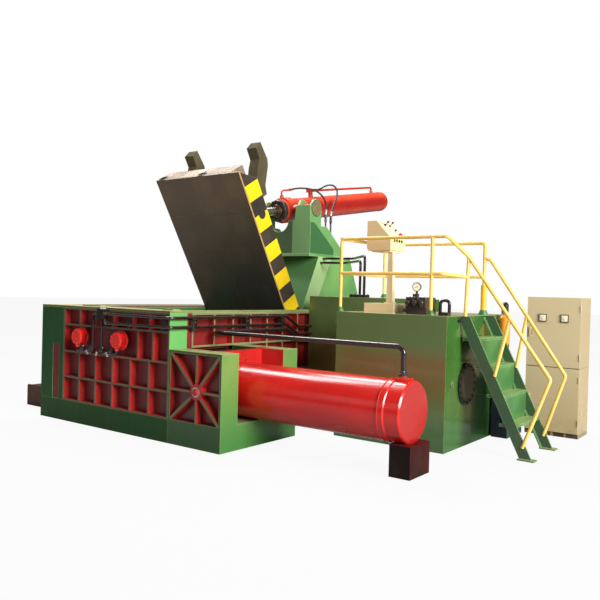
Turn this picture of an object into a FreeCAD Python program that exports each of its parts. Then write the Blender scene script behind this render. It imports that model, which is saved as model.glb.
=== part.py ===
import FreeCAD, Part
import math
import os
import Sketcher

# Horizontal scrap baler with a side ram, a main ram and a hydraulic lid.
# All places are measured from the layout datum: the floor corner where the ribbed near face meets the
# bale outlet end. X runs along the near face, Y runs away from it and Z is up. The part's own origin is
# on the floor under the middle of the main box, so every place is shifted by half the box.

DIMENSIONS = {
    # main box
    "box_length": 2513, "box_depth": 2950, "box_height": 1520, "base_height": 270, "floor_plate": 20,
    "lane_near": 273, "lane_width": 804, "lane_top": 1045, "near_rim": 356, "rib_depth": 90,
    "rib_thick": 25, "column_width": 486, "throat_end": 745, "side_wall": 148, "side_plate": 58,
    "rear_wall": 200, "hinge_sill": 1300, "rim_thick": 25, "window_top": 1050, "row_low": 575,
    "row_mid": 908, "row_high": 1260, "side_rib_first": 385, "side_rib_bays": 6.9,
    # stop pads on the rim
    "pad_thick": 15, "pad_near": 190, "pad_width": 110, "pad_left": 620, "pad_long": 380,
    "pad_right": 343, "pad_short": 190,
    # bale gate
    "gate_left": 260, "gate_thick": 125, "gate_gap": 5, "gate_travel": 1080, "gate_length": 1085,
    "gate_tongue": 100, "tongue_top": 1005, "gate_rod": 35, "gate_rod_out": 110,
    "gate_cylinder": 75, "gate_cylinder_length": 1270, "gate_cylinder_end": 25, "gate_flange": 110,
    "gate_flange_thick": 30, "gate_port_back": 120, "gate_port": 30, "gate_port_rise": 25,
    # side ram and its housing
    "housing_length": 826, "housing_depth": 1355, "housing_height": 1080, "panel_depth": 85,
    "panel_margin": 30, "panel_sill": 15, "hub_radius": 90, "hub_right": 30, "hub_drop": 35,
    "hub_pin": 38, "hub_pin_length": 28, "hub_pin_edge": 6, "ram_gap": 5, "side_head_length": 525,
    "side_plate_at": 417, "cross_plate": 70, "side_axis_z": 618, "side_barrel": 318,
    "side_bore": 250, "side_barrel_length": 2060, "side_cap": 327, "side_cap_length": 240,
    "side_rod": 180, "side_port": 350, "side_foot_back": 90, "side_foot_length": 230,
    "side_foot_width": 420, "side_foot_height": 320,
    # main ram and its housing
    "ram_housing_length": 1950, "ram_housing_wall": 140, "main_head_length": 650,
    "main_plate_at": 510, "main_axis_z": 680, "main_barrel": 290, "main_bore": 225,
    "main_barrel_length": 1900, "main_cap": 298, "main_cap_length": 200, "main_rod": 150,
    "main_port": 320, "main_foot_back": 75, "main_foot_width": 360, "main_foot_length": 100,
    "main_foot_height": 450,
    # what both rams and both cylinders share
    "bore_gap": 1, "ram_wall": 60, "ram_boss": 60, "ram_boss_length": 115, "rod_inset": 175,
    "piston_length": 120, "piston_rest": 20, "head_rest": 10, "cap_ring": 60, "cap_step": 12,
    "cap_slope": 10, "cap_edge": 15, "port_at": 110, "port_radius": 45, "port_root": 40,
    "seat_depth": 12,
    # lid
    "hinge_back": 122, "hinge_z": 1396, "open_angle": 59.53, "lid_gap": 15, "lid_under": 346,
    "lid_top": 28, "lid_back": 140, "lid_reach": 2236, "lid_slope": 0.6604, "lid_plate": 25,
    "lid_skin": 40, "lid_end": 35, "lid_rear": 30, "wear_plate": 25, "wear_gap": 3,
    "slot_near": 430, "slot_far": 150, "web_spacing": 260, "web_thick": 30, "lid_rib": 25,
    "hook_width": 170, "far_hook_at": 980, "hook_root": 276, "hook_heel": 156, "hook_neck": 119,
    "hook_knee": 204, "hook_chin": 369, "hook_tip": 401, "hook_crown": 145, "hook_nape": 57,
    "hook_low": 60, "hook_rise": 90, "hook_bend": 143, "hook_high": 265, "hook_top": 299,
    "hinge_pin": 45, "knuckle": 85, "knuckle_width": 200, "knuckle_inset": 100, "knuckle_face": 60,
    "arm_root": 190,
    "arm_waist": 90, "arm_flat": 12, "bracket_width": 90, "bracket_gap": 5, "hinge_end": 10,
    "pin_gap": 0.05,
    # lid cylinder
    "swing_radius": 1772, "rod_pin_angle": 185.32, "trunnion_angle": 73.38, "lid_barrel": 183,
    "lid_bore": 130, "lid_rod": 68, "gland_front": 222, "gland_length": 70, "gland_step": 22,
    "gland_edge": 15, "gland_skin": 7, "lid_barrel_back": 3106, "dome": 60, "dome_round": 18,
    "dome_shoulder": 30, "dome_flat": 75, "barrel_end": 120, "collar": 22, "collar_half": 95,
    "piston_back": 1560, "lid_piston": 140, "lid_pin": 45, "pin_head": 68, "pin_head_thick": 8,
    "rod_eye": 108, "eye_width": 200,
    # tower
    "tower_half": 600, "cheek": 30, "ear_front": 362, "ear_width_top": 271, "ear_width_low": 361,
    "ear_depth": 300, "ear_top": 3140, "ear_toe": 170, "toe_drop": 330, "ear_round": 45,
    "ear_crown": 105, "ear_brow": 60, "brow_rise": 10, "web_inset": 125, "web_back": 1045,
    "web_low": 140, "web_shoulder": 605, "web_high": 470, "tie_high": 320, "gusset_back": 666,
    "gusset_low": 113, "gusset_front": 107, "gusset_high": 498, "deck_top": 2380,
    "deck_thick": 35, "deck_back": 1572, "flange": 12, "stand_front_low": 90,
    "stand_front_top": 604, "stand_back_low": 2055, "stand_back_top": 1544, "stand_wall": 35,
    "strip_low": 320, "strip_top": 366, "web_top": 2834, "notch_radius": 175, "notch_z": 2905,
    "trunnion_pin": 80, "trunnion_boss": 140,
    # lid locks on the near face
    "lock_first": 850, "lock_pitch": 780, "lock_z": 1125, "lock_cap": 105, "lock_cap_length": 105,
    "lock_cap_edge": 14, "lock_neck": 66, "lock_neck_at": 132, "lock_pin": 40, "lock_gap": 0.5,
    "lock_front": 70, "lock_floor": 20, "lock_rest": 4, "socket": 46, "socket_front": 60,
    "socket_length": 160, "lock_boss": 24, "lock_boss_at": 30, "lock_boss_length": 45,
    "lock_rib_near": 0.3635, "lock_rib_far": 0.6648,
    # discharge table
    "table_length": 900, "table_near": 360, "table_depth": 640, "table_plate": 25, "table_web": 40,
    # tanks
    "tank_left": 1157, "tank_length": 1480, "tank_forward": 1230, "tank_depth": 2020,
    "tank_height": 1550, "rear_tank_gap": 7, "rear_tank_length": 1585, "rear_tank_forward": 220,
    "rear_tank_depth": 1010, "rear_tank_height": 1725, "tank_gap": 5, "eye_left": 60,
    "eye_back": 210, "eye_foot": 45, "eye_head": 32, "eye_height": 70, "eye_hole_z": 38,
    "eye_hole": 17, "eye_thick": 20, "manhole_y": 585, "manhole_z": 740, "manhole_radius": 250,
    "manhole_thick": 22, "manhole_bolts": 16, "manhole_circle": 218, "bolt_radius": 13,
    "bolt_head": 14,
    # rails and stairs
    "rail_radius": 21, "rail_top": 2455, "rail_mid": 2030, "rail_near": 40, "rail_far": 1130,
    "rail_left": 20, "rail_post": 224, "rail_bend": 50, "rail_corner": 30, "corner_bend": 40,
    "sleeve": 36, "sleeve_top": 1930, "hand_turn": 40, "mid_turn": 90, "mid_drop": 25,
    "mid_reach": 72, "newel": 60, "hand_start": 84, "hand_start_z": 2237, "hand_knee": 1048,
    "hand_knee_z": 909, "hand_foot_z": 130, "hand_foot_in": 45, "bar_short": 0.5,
    "near_bar_top": 1545, "near_bar_low": 890, "bar_in": 12, "far_hand_post_z": 2270,
    "far_hand_start": 50, "far_hand_start_z": 2240, "far_hand_knee": 993, "far_hand_knee_z": 883,
    "far_hand_foot_z": 150, "far_bar_top": 1565, "far_bar_low": 930,
    "stair_near": 360, "stair_far": 1130, "stair_run": 758, "stringer_width": 118,
    "stringer_thick": 18, "stringer_cut": 25, "lip_width": 60, "lip_thick": 16, "lip_top": 60,
    "tread_first": 1300, "tread_rise": 312, "tread_depth": 200, "tread_thick": 30, "treads": 4,
    "foot_plate": 14, "foot_width": 120, "foot_behind": 30, "foot_ahead": 40,
    # control desk
    "desk_left": 268, "desk_near": 230, "desk_width": 370, "desk_low": 2325, "desk_high": 2690,
    "desk_length": 337, "desk_corner": 12, "desk_corner_high": 40, "panel_length": 297,
    "panel_angle": 46.6, "desk_base": 118, "desk_base_out": 15, "desk_base_length": 410,
    "desk_base_width": 310, "post_x": 270, "post_y": 155, "post_low": 45, "post_high": 31,
    "tray_left": 60, "tray_near": 30, "tray_length": 250, "tray_thick": 20, "button": 15,
    "button_gap": 0.5, "button_depth": 24, "button_seat": 12, "button_proud": 10,
    "button_pitch": 62, "button_rise": 45, "stop_knob": 26, "stop_edge": 4, "stop_round": 8,
    "stop_stem": 10, "stop_far": 62, "stop_along": 62, "stop_root": 40, "stop_low": 10,
    "stop_neck": 50, "stop_rim": 56, "stop_shoulder": 66, "stop_top": 72, "stop_hole": 60,
    "lever_first": 110, "lever_pitch": 120, "lever_down": 75, "lever_disc": 14,
    "lever_width": 22, "lever_length": 78, "lever_stalk": 5, "lever_grip": 13,
    "lever_grip_low": 26, "lever_slot": 26, "lever_slot_depth": 24,
    # valves and pipes
    "manifold_left": 830, "manifold_length": 280, "manifold_near": 230, "manifold_width": 250,
    "manifold_height": 75, "valve_first": 12, "valve_pitch": 90, "valve_length": 76,
    "valve_over": 15, "valve_height": 130, "valve_step": 35, "gauge_z": 1879,
    "gauge_radius": 52, "gauge_x": 118, "gauge_y": 60, "gauge_stem": 14, "gauge_back": 18,
    "gauge_front": 22, "gauge_rim": 5, "gauge_turn": 20, "pipe": 19, "pipe_high": 1440,
    "pipe_pitch": 110, "pipe_out": 45, "pipe_knee": 610, "pipe_drop_at": 310, "pipe_drop": 150,
    "thick_pipe": 27, "thick_drop": 70, "thick_out": 10, "thin_pipe": 15, "lock_valve": 125,
    "lock_valve_x": 1290, "lock_valve_depth": 90, "valve_drop": 25, "lock_pipe_rise": 130,
    "lock_pipe_in": 40, "lock_pipe_low": 45, "clamp_right": 113, "clamp_pitch": 600,
    "clamp_width": 60, "clamp_rise": 45, "clamp_height": 75, "side_clamp_near": 300,
    "side_clamp_mid": 1250, "side_clamp_far": 2000, "side_clamp_width": 70, "tower_flange_x": 590,
    "tower_flange_y": 150, "tower_flange_length": 250, "tower_flange_width": 140,
    "tower_flange_height": 40, "tower_pipe_x": 720, "tower_pipe_y": 220, "tower_pipe_run": 560,
    "tower_pipe_back": 662, "tower_pipe_low": 130, "tower_pipe_pitch": 70, "feed_y": 140,
    "feed_rise": 45, "feed_out": 90, "feed_back": 420, "return_x": 1225, "return_y": 360,
    "return_rise": 175, "return_pitch": 115, "return_pad_x": 1285, "return_pad_y": 180,
    "return_pad_length": 115, "return_pad_width": 90, "return_pad_height": 38,
    "main_pipe_low": 120, "main_pipe_side": 420, "gate_pipe_rise": 130, "hose": 15,
    "fitting": 22, "fitting_length": 110,
    # rigid pipes on the lid cylinder
    "front_pipe_at": 70, "front_pipe_root": 60, "front_pipe_rise": 135, "front_pipe_top": 140,
    "front_pipe_end": 132, "rear_pipe_side": 20, "rear_pipe_start": 758, "rear_pipe_high": 107,
    "rear_pipe_end": 2772, "rear_pipe_low": 98, "rear_pipe_root": 30, "pipe_post_at": 725,
    "pipe_post": 38, "pipe_post_top": 82, "yoke_length": 68, "yoke_width": 120,
    "yoke_height": 55, "yoke_at": 690, "yoke_low": 80, "pipe_boss": 30, "boss_root": 4,
    # drives beside the tank
    "bottle": 68, "bottle_out": 105, "bottle_y": 1530, "bottle_low": 1150, "bottle_high": 1560,
    "bottle_foot": 30, "bottle_round": 40, "bottle_shoulder": 25, "bottle_neck": 45,
    "bottle_cap": 130, "bottle_tip": 22, "bottle_tip_top": 160, "bottle_arm_width": 80,
    "bottle_arm_height": 40, "bottle_arm_grip": 12, "bottle_arm_low": 80,
    "bottle_arm_high": 290, "motor": 105, "motor_x": 135, "motor_y": 1330, "motor_z": 640,
    "motor_length": 400, "motor_cap": 30, "motor_cap_length": 45, "pump": 70,
    "pump_length": 190, "terminal_at": 150, "terminal_length": 130, "terminal_width": 120,
    "terminal_height": 75, "terminal_root": 25, "stand_width": 210, "stand_near": 20,
    "stand_over": 150, "motor_drop": 12, "motor_foot_near": 70, "motor_foot_width": 170,
    "motor_foot_short": 100, "motor_foot_height": 40,
    # switch cabinet
    "cabinet_left": 260, "cabinet_front": 1960, "cabinet_width": 680, "cabinet_depth": 450,
    "cabinet_height": 1800, "plinth": 60, "door_split": 895, "door_thick": 22, "door_gap": 2,
    "door_off": 1, "sheet": 8, "door_pin": 9, "door_pin_length": 80, "door_pin_low": 100,
    "door_pin_high": 180, "handle_x": 40, "handle_width": 22, "handle_depth": 25,
    "handle_height": 120,
}


class Size:
    """A length or angle taken from the sheet: its value, and the expression that binds it."""

    def __init__(self, value, text):
        self.value = value
        self.text = text

    def __add__(self, other):
        return Size(self.value + value_of(other), "(%s + %s)" % (self.text, text_of(other)))

    def __radd__(self, other):
        return Size(value_of(other) + self.value, "(%s + %s)" % (text_of(other), self.text))

    def __sub__(self, other):
        return Size(self.value - value_of(other), "(%s - %s)" % (self.text, text_of(other)))

    def __rsub__(self, other):
        return Size(value_of(other) - self.value, "(%s - %s)" % (text_of(other), self.text))

    def __mul__(self, other):
        return Size(self.value * value_of(other), "(%s * %s)" % (self.text, text_of(other)))

    __rmul__ = __mul__

    def __truediv__(self, other):
        return Size(self.value / value_of(other), "(%s / %s)" % (self.text, text_of(other)))

    def __neg__(self):
        return Size(-self.value, "(0 - %s)" % self.text)


def value_of(size):
    return size.value if isinstance(size, Size) else float(size)


def text_of(size):
    return size.text if isinstance(size, Size) else "(%.6f)" % size


def cosine(angle):
    return Size(math.cos(math.radians(angle.value)), "cos(%s)" % angle.text)


def sine(angle):
    return Size(math.sin(math.radians(angle.value)), "sin(%s)" % angle.text)


# How far a cutting tool runs past the face that it cuts, in millimetres.
PAST = 10.0

doc = FreeCAD.newDocument("ScrapBaler")


def make_sheet():
    """Writes the driving dimensions to the sheet, one row each, and returns them as sizes."""
    sheet = doc.addObject("Spreadsheet::Sheet", "Sizes")
    sizes = {}
    for row, (alias, number) in enumerate(DIMENSIONS.items(), start=1):
        sheet.set("A%d" % row, alias)
        sheet.set("B%d" % row, str(number))
        sheet.setAlias("B%d" % row, alias)
        sizes[alias] = Size(float(number), "Sizes." + alias)
    return sizes


S = make_sheet()
doc.recompute()

sub_parts = []

# ---------------------------------------------------------------- helpers


def bind(thing, name, size):
    """Sets a property's number, or ties it to the sheet."""
    if isinstance(size, Size):
        thing.setExpression(name, size.text)
    else:
        thing.setExpression(name, "(%.6f)" % size)


def place(thing, x, y, z, axis=(1, 0, 0), turn=0.0):
    """Puts a piece at a place measured from the layout datum, turned about an axis."""
    angle = value_of(turn)
    thing.Placement = FreeCAD.Placement(
        FreeCAD.Vector(0, 0, 0), FreeCAD.Rotation(FreeCAD.Vector(*axis), angle))
    bind(thing, "Placement.Base.x", x - S["box_length"] / 2)
    bind(thing, "Placement.Base.y", y - S["box_depth"] / 2)
    bind(thing, "Placement.Base.z", z)
    if isinstance(turn, Size):
        bind(thing, "Placement.Rotation.Angle", turn)
    return thing


def block(x, y, z, length, width, height):
    box = doc.addObject("Part::Box", "block")
    bind(box, "Length", length)
    bind(box, "Width", width)
    bind(box, "Height", height)
    return place(box, x, y, z)


TURNS = {"x": ((0, 1, 0), 90.0), "y": ((1, 0, 0), -90.0), "z": ((0, 0, 1), 0.0)}


def drum(along, x, y, z, radius, length):
    """A plain cylinder from a place, in the direction of an axis."""
    cylinder = doc.addObject("Part::Cylinder", "drum")
    bind(cylinder, "Radius", radius)
    bind(cylinder, "Height", length)
    axis, turn = TURNS[along]
    return place(cylinder, x, y, z, axis, turn)


def fused(pieces):
    if len(pieces) == 1:
        return pieces[0]
    union = doc.addObject("Part::MultiFuse", "fused")
    union.Shapes = pieces
    union.Refine = True
    return union


def cut(base, tools):
    cutter = doc.addObject("Part::Cut", "cut")
    cutter.Base = base
    cutter.Tool = fused(tools)
    cutter.Refine = True
    return cutter


def grouped(pieces):
    """Separate solids of one kind, kept as one sub-part."""
    group = doc.addObject("Part::Compound", "group")
    group.Links = pieces
    return group


def body_with_sketch(plane, outline, holes=()):
    """A body with a closed outline of points, and round holes, tied to the sheet."""
    body = doc.addObject("PartDesign::Body", "body")
    sketch = body.newObject("Sketcher::SketchObject", "outline")
    for feature in body.Origin.OriginFeatures:
        if feature.Role == plane + "_Plane":
            sketch.AttachmentSupport = [(feature, "")]
    sketch.MapMode = "FlatFace"
    corners = [FreeCAD.Vector(value_of(a), value_of(b), 0) for a, b in outline]
    count = len(corners)
    for index in range(count):
        edge = Part.LineSegment(corners[index], corners[(index + 1) % count])
        sketch.addGeometry(edge, False)
    for index in range(count):
        following = (index + 1) % count
        sketch.addConstraint(Sketcher.Constraint("Coincident", index, 2, following, 1))
    for index, (across, up) in enumerate(outline):
        tie_point(sketch, index, 1, across, up)
    for across, up, radius in holes:
        centre = FreeCAD.Vector(value_of(across), value_of(up), 0)
        circle = Part.Circle(centre, FreeCAD.Vector(0, 0, 1), value_of(radius))
        index = sketch.addGeometry(circle, False)
        tie_point(sketch, index, 3, across, up)
        number = sketch.addConstraint(Sketcher.Constraint("Radius", index, value_of(radius)))
        if isinstance(radius, Size):
            sketch.setExpression("Constraints[%d]" % number, radius.text)
    return body, sketch


def tie_point(sketch, index, end, across, up):
    for kind, size in (("DistanceX", across), ("DistanceY", up)):
        constraint = Sketcher.Constraint(kind, -1, 1, index, end, value_of(size))
        number = sketch.addConstraint(constraint)
        if isinstance(size, Size):
            sketch.setExpression("Constraints[%d]" % number, size.text)


def pad(body, sketch, thickness):
    feature = body.newObject("PartDesign::Pad", "pad")
    feature.Profile = sketch
    bind(feature, "Length", thickness)
    sketch.Visibility = False
    return feature


def plate_x(x, thickness, outline, holes=()):
    """A plate whose outline is given in Y and Z from the datum, and whose thickness runs along +X."""
    shifted = [(y - S["box_depth"] / 2, z) for y, z in outline]
    bores = [(y - S["box_depth"] / 2, z, radius) for y, z, radius in holes]
    body, sketch = body_with_sketch("YZ", shifted, bores)
    pad(body, sketch, thickness)
    return place(body, x, S["box_depth"] / 2, 0)


def plate_y(y, thickness, outline, holes=()):
    """A plate whose outline is given in X and Z from the datum, and whose thickness runs along +Y."""
    shifted = [(x - S["box_length"] / 2, z) for x, z in outline]
    bores = [(x - S["box_length"] / 2, z, radius) for x, z, radius in holes]
    body, sketch = body_with_sketch("XZ", shifted, bores)
    feature = pad(body, sketch, thickness)
    feature.Reversed = True
    return place(body, S["box_length"] / 2, y, 0)


def plate_z(z, thickness, outline, holes=()):
    """A plate whose outline is given in X and Y from the datum, and whose thickness runs up."""
    body, sketch = body_with_sketch("XY", outline, holes)
    pad(body, sketch, thickness)
    return place(body, 0, 0, z)


def lid_plate(x, thickness, outline, holes=()):
    """A piece of the lid: its outline is in the shut lid's own Y and Z, from the hinge axis."""
    body, sketch = body_with_sketch("YZ", outline, holes)
    pad(body, sketch, thickness)
    bind(body, "Placement.Base.x", x)
    return body


def swung_open(thing):
    """Puts finished pieces of the shut lid on the hinge, at the angle of the open lid."""
    return place(thing, 0, hinge_y, S["hinge_z"], (1, 0, 0), -S["open_angle"])


def turned(x, y, z, profile, along="z", axis=None, turn=0.0):
    """A turned piece: its profile is a closed outline of radius and height on its axis."""
    body, sketch = body_with_sketch("XZ", profile)
    feature = body.newObject("PartDesign::Revolution", "turned")
    feature.Profile = sketch
    feature.ReferenceAxis = (sketch, ["V_Axis"])
    feature.Angle = 360.0
    sketch.Visibility = False
    if axis is None:
        axis, turn = TURNS[along]
    return place(body, x, y, z, axis, turn)


def ring_profile(bore, radius, low, high):
    return [(bore, low), (radius, low), (radius, high), (bore, high)]


def node(label, thing):
    thing.Label = label
    sub_parts.append(thing)
    return thing


def datum_point(x, y, z):
    shift_x = value_of(S["box_length"]) / 2
    shift_y = value_of(S["box_depth"]) / 2
    return FreeCAD.Vector(value_of(x) - shift_x, value_of(y) - shift_y, value_of(z))


def corner_arc(before, corner, after, bend):
    """The tangent arc that rounds a corner of a path: its first, middle and last points."""
    to_back = (before - corner).normalize()
    to_front = (after - corner).normalize()
    half = to_back.getAngle(to_front) / 2
    setback = bend / math.tan(half)
    middle_way = (to_back + to_front).normalize()
    middle = corner + middle_way * (bend / math.sin(half) - bend)
    return corner + to_back * setback, middle, corner + to_front * setback


def swept(edges, start, way, radius):
    """A round bar along a path of edges."""
    circle = Part.makeCircle(radius, start, way)
    return Part.Wire(edges).makePipeShell([Part.Wire(circle)], True, False)


def path_pieces(points, bend):
    """A path's straight runs and tangent arcs in turn, through points from the datum."""
    corners = [datum_point(*point) for point in points]
    pieces = []
    start = corners[0]
    for before, corner, after in zip(corners, corners[1:], corners[2:]):
        first, middle, last = corner_arc(before, corner, after, value_of(bend))
        pieces.append((start, first - start, Part.makeLine(start, first)))
        pieces.append((first, corner - first, Part.Arc(first, middle, last).toShape()))
        start = last
    pieces.append((start, corners[-1] - start, Part.makeLine(start, corners[-1])))
    return pieces


def tube(points, radius, bend=60.0):
    """A bent pipe in one piece, whose shape is set from the sheet's values."""
    pieces = path_pieces(points, bend)
    pipe = doc.addObject("Part::Feature", "tube")
    pipe.Shape = swept([edge for start, way, edge in pieces], pieces[0][0], pieces[0][1],
                       value_of(radius))
    return pipe


def welded_tube(points, radius, bend):
    """The straight lengths and elbows of a welded pipe rail, each a solid that ends on the next."""
    lengths = []
    for start, way, edge in path_pieces(points, bend):
        length = doc.addObject("Part::Feature", "length")
        length.Shape = swept([edge], start, way, value_of(radius))
        lengths.append(length)
    return lengths


# ---------------------------------------------------------------- main box

chamber_right = S["box_length"] - S["side_wall"]
chamber_mid = (S["throat_end"] + chamber_right) / 2
chamber_back = S["box_depth"] - S["rear_wall"]
box_right = S["box_length"]
lane_floor = S["base_height"] + S["floor_plate"]
hinge_y = S["box_depth"] - S["hinge_back"]
lane_far = S["lane_near"] + S["lane_width"]
wall_top = S["box_height"] - S["rim_thick"]
rib_front = S["rib_depth"]


def base_frame():
    """Welded floor frame, closed underneath, and the wear liner on it."""
    frame = block(0, 0, 0, box_right, S["box_depth"], S["base_height"])
    liner = block(S["throat_end"], S["lane_near"], S["base_height"],
                  chamber_right - S["throat_end"], chamber_back - S["lane_near"], S["floor_plate"])
    node("base_frame", fused([frame, liner]))


def lane_profile():
    """Outline of a wall that the bale lane passes through: the chamber's depth, less the lane."""
    return [
        (S["lane_near"], S["base_height"]), (chamber_back, S["base_height"]), (chamber_back, wall_top),
        (S["near_rim"], wall_top), (S["near_rim"], S["lane_top"]), (lane_far, S["lane_top"]),
        (lane_far, lane_floor), (S["lane_near"], lane_floor)]


def box_walls():
    """Three walls of the pressing chamber and the rim on top."""
    over = S["near_rim"]
    near_profile = [
        (rib_front, S["base_height"]), (S["lane_near"], S["base_height"]),
        (S["lane_near"], S["lane_top"]), (over, S["lane_top"]), (over, wall_top),
        (rib_front, wall_top)]
    near = plate_x(S["column_width"], S["box_length"] - S["column_width"], near_profile)
    pin_bores = [
        drum("y", S["lock_first"] + S["lock_pitch"] * k, 0, S["lock_z"], S["lock_pin"] + S["lock_gap"],
             over + PAST)
        for k in range(2)]
    node("near_wall", cut(near, pin_bores))

    node("side_wall", plate_x(chamber_right, S["side_plate"], lane_profile()))

    rear = plate_y(chamber_back, S["rear_wall"], [
        (S["column_width"], S["base_height"]), (S["box_length"], S["base_height"]),
        (S["box_length"], wall_top), (chamber_right, wall_top), (chamber_right, S["hinge_sill"]),
        (S["throat_end"], S["hinge_sill"]), (S["throat_end"], wall_top),
        (S["column_width"], wall_top)])
    window = block(S["throat_end"], chamber_back - PAST, lane_floor,
                   chamber_right - S["throat_end"], S["rear_wall"] + PAST * 2,
                   S["window_top"] - lane_floor)
    node("rear_wall", cut(rear, [window]))

    rim = plate_z(wall_top, S["rim_thick"], [
        (0, 0), (S["box_length"], 0), (S["box_length"], S["box_depth"]),
        (chamber_right, S["box_depth"]), (chamber_right, over), (S["throat_end"], over),
        (S["throat_end"], S["box_depth"]), (0, S["box_depth"])])
    pads = [block(x, S["pad_near"], S["box_height"], length, S["pad_width"], S["pad_thick"])
            for x, length in ((S["pad_left"], S["pad_long"]),
                              (box_right - S["pad_right"], S["pad_short"]))]
    node("rim_frame", fused([rim] + pads))


def near_ribs():
    """Welded grid of flat bars on the near face; the third row leaves room for the locks."""
    rib = S["rib_thick"]
    pitch = (S["box_length"] - S["column_width"] - rib) / 6
    low = S["base_height"]
    rows = [(low, S["row_low"]), (S["row_low"], S["row_mid"]), (S["row_high"], wall_top)]
    bars = []
    for bottom, top in rows:
        for column in range(1, 6):
            x = S["column_width"] + pitch * column
            bars.append(block(x, 0, bottom, rib, rib_front, top - bottom))
    for edge in (S["column_width"], S["box_length"] - rib):
        bars.append(block(edge, 0, low, rib, rib_front, wall_top - low))
    last_lock = S["lock_first"] + S["lock_pitch"]
    for share in (S["lock_rib_near"], S["lock_rib_far"]):
        x = last_lock + (box_right - last_lock) * share
        bars.append(block(x, 0, S["row_mid"], rib, rib_front, S["row_high"] - S["row_mid"]))
    for z in (low, S["row_low"], S["row_mid"], S["row_high"], wall_top - rib):
        bars.append(block(S["column_width"], 0, z, S["box_length"] - S["column_width"], rib_front, rib))
    node("near_ribs", fused(bars))


def side_ribs():
    """Welded grid on the end face, over the side ram's housing and behind it."""
    rib = S["rib_thick"]
    face = chamber_right + S["side_plate"]
    depth = S["box_length"] - face
    top = S["housing_height"]
    bars = [block(face, S["near_rim"], top, depth, rib, wall_top - top)]
    first = S["side_rib_first"]
    pitch = (chamber_back - first) / S["side_rib_bays"]
    for index in range(1, 7):
        bars.append(block(face, first + pitch * index, top, depth, rib, wall_top - top))
    for index in range(3, 7):
        bars.append(block(face, first + pitch * index, S["base_height"], depth, rib,
                          top - S["base_height"]))
    span = chamber_back - S["near_rim"]
    bars.append(block(face, S["near_rim"], top, depth, span, rib))
    bars.append(block(face, S["near_rim"], wall_top - rib, depth, span, rib))
    low_y = S["housing_depth"]
    bars.append(block(face, low_y, S["base_height"], depth, chamber_back - low_y, rib))
    bars.append(block(face, low_y, (S["base_height"] + top) / 2, depth, chamber_back - low_y, rib))
    bars.append(block(face, low_y, S["base_height"], depth, rib, top - S["base_height"]))
    node("side_ribs", fused(bars))


# ---------------------------------------------------------------- bale gate

gate_centre_x = S["gate_left"] + S["gate_gap"] + S["gate_thick"] / 2
gate_slot = S["gate_thick"] + S["gate_gap"] * 2
gate_near = S["gate_tongue"] + S["gate_gap"]
gate_axis_z = (lane_floor + S["lane_top"]) / 2


def gate_housing():
    """Outlet end of the box: a thick wall with the bale window and the slot of the sliding gate."""
    wall = block(0, 0, S["base_height"], S["column_width"], S["box_depth"],
                 wall_top - S["base_height"])
    slot_end = gate_near + S["gate_length"] + S["gate_travel"] + S["gate_gap"] * 4
    slot_low = lane_floor - S["gate_gap"] * 2
    slot = block(S["gate_left"], S["gate_tongue"], slot_low, gate_slot,
                 slot_end - S["gate_tongue"], S["lane_top"] + S["gate_gap"] * 2 - slot_low)
    mouth = block(S["gate_left"], -PAST, slot_low, gate_slot, S["gate_tongue"] + PAST * 2,
                  S["tongue_top"] - slot_low)
    window = block(-PAST, S["lane_near"], lane_floor, S["column_width"] + PAST * 2,
                   S["lane_width"], S["lane_top"] - lane_floor)
    rod_bore = drum("y", gate_centre_x, slot_end - PAST, gate_axis_z,
                    S["gate_rod"] + S["bore_gap"], S["box_depth"] + PAST * 2 - slot_end)
    throat = plate_x(S["column_width"], S["throat_end"] - S["column_width"], lane_profile())
    node("gate_housing", fused([cut(wall, [slot, mouth, window, rod_bore]), throat]))


def gate():
    """The sliding gate plate with its tongue and rod, and the cylinder at the back."""
    x = S["gate_left"] + S["gate_gap"]
    low = lane_floor - S["gate_gap"]
    plate = block(x, gate_near, low, S["gate_thick"], S["gate_length"],
                  S["lane_top"] + S["gate_gap"] - low)
    tongue = block(x, S["gate_gap"], low, S["gate_thick"], gate_near,
                   S["tongue_top"] - S["gate_gap"] - low)
    start = gate_near + S["gate_length"]
    reach = S["box_depth"] + S["gate_rod_out"] - start
    rod = drum("y", gate_centre_x, start - PAST, gate_axis_z, S["gate_rod"], reach + PAST)
    node("gate_plate", fused([plate, tongue, rod]))
    bore = S["gate_rod"] + S["bore_gap"]
    length = S["gate_cylinder_length"]
    inside = length - S["gate_cylinder_end"]
    barrel = turned(gate_centre_x, S["box_depth"], gate_axis_z, [
        (bore, 0), (S["gate_flange"], 0), (S["gate_flange"], S["gate_flange_thick"]),
        (S["gate_cylinder"], S["gate_flange_thick"]), (S["gate_cylinder"], length), (0, length),
        (0, inside), (bore, inside)], "y")
    port = drum("z", gate_centre_x, S["box_depth"] + length - S["gate_port_back"],
                gate_axis_z + S["gate_cylinder"] - PAST * 2, S["gate_port"],
                S["gate_port_rise"] + PAST * 2)
    node("gate_cylinder", fused([barrel, port]))


# ---------------------------------------------------------------- side ram

head_low = lane_floor + S["ram_gap"]
head_height = S["lane_top"] - S["ram_gap"] * 2 - head_low
side_axis_y = S["lane_near"] + S["lane_width"] / 2
housing_end = box_right + S["housing_length"]
side_plate_x = box_right + S["side_plate_at"]
side_barrel_x = side_plate_x + S["cross_plate"]


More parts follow.
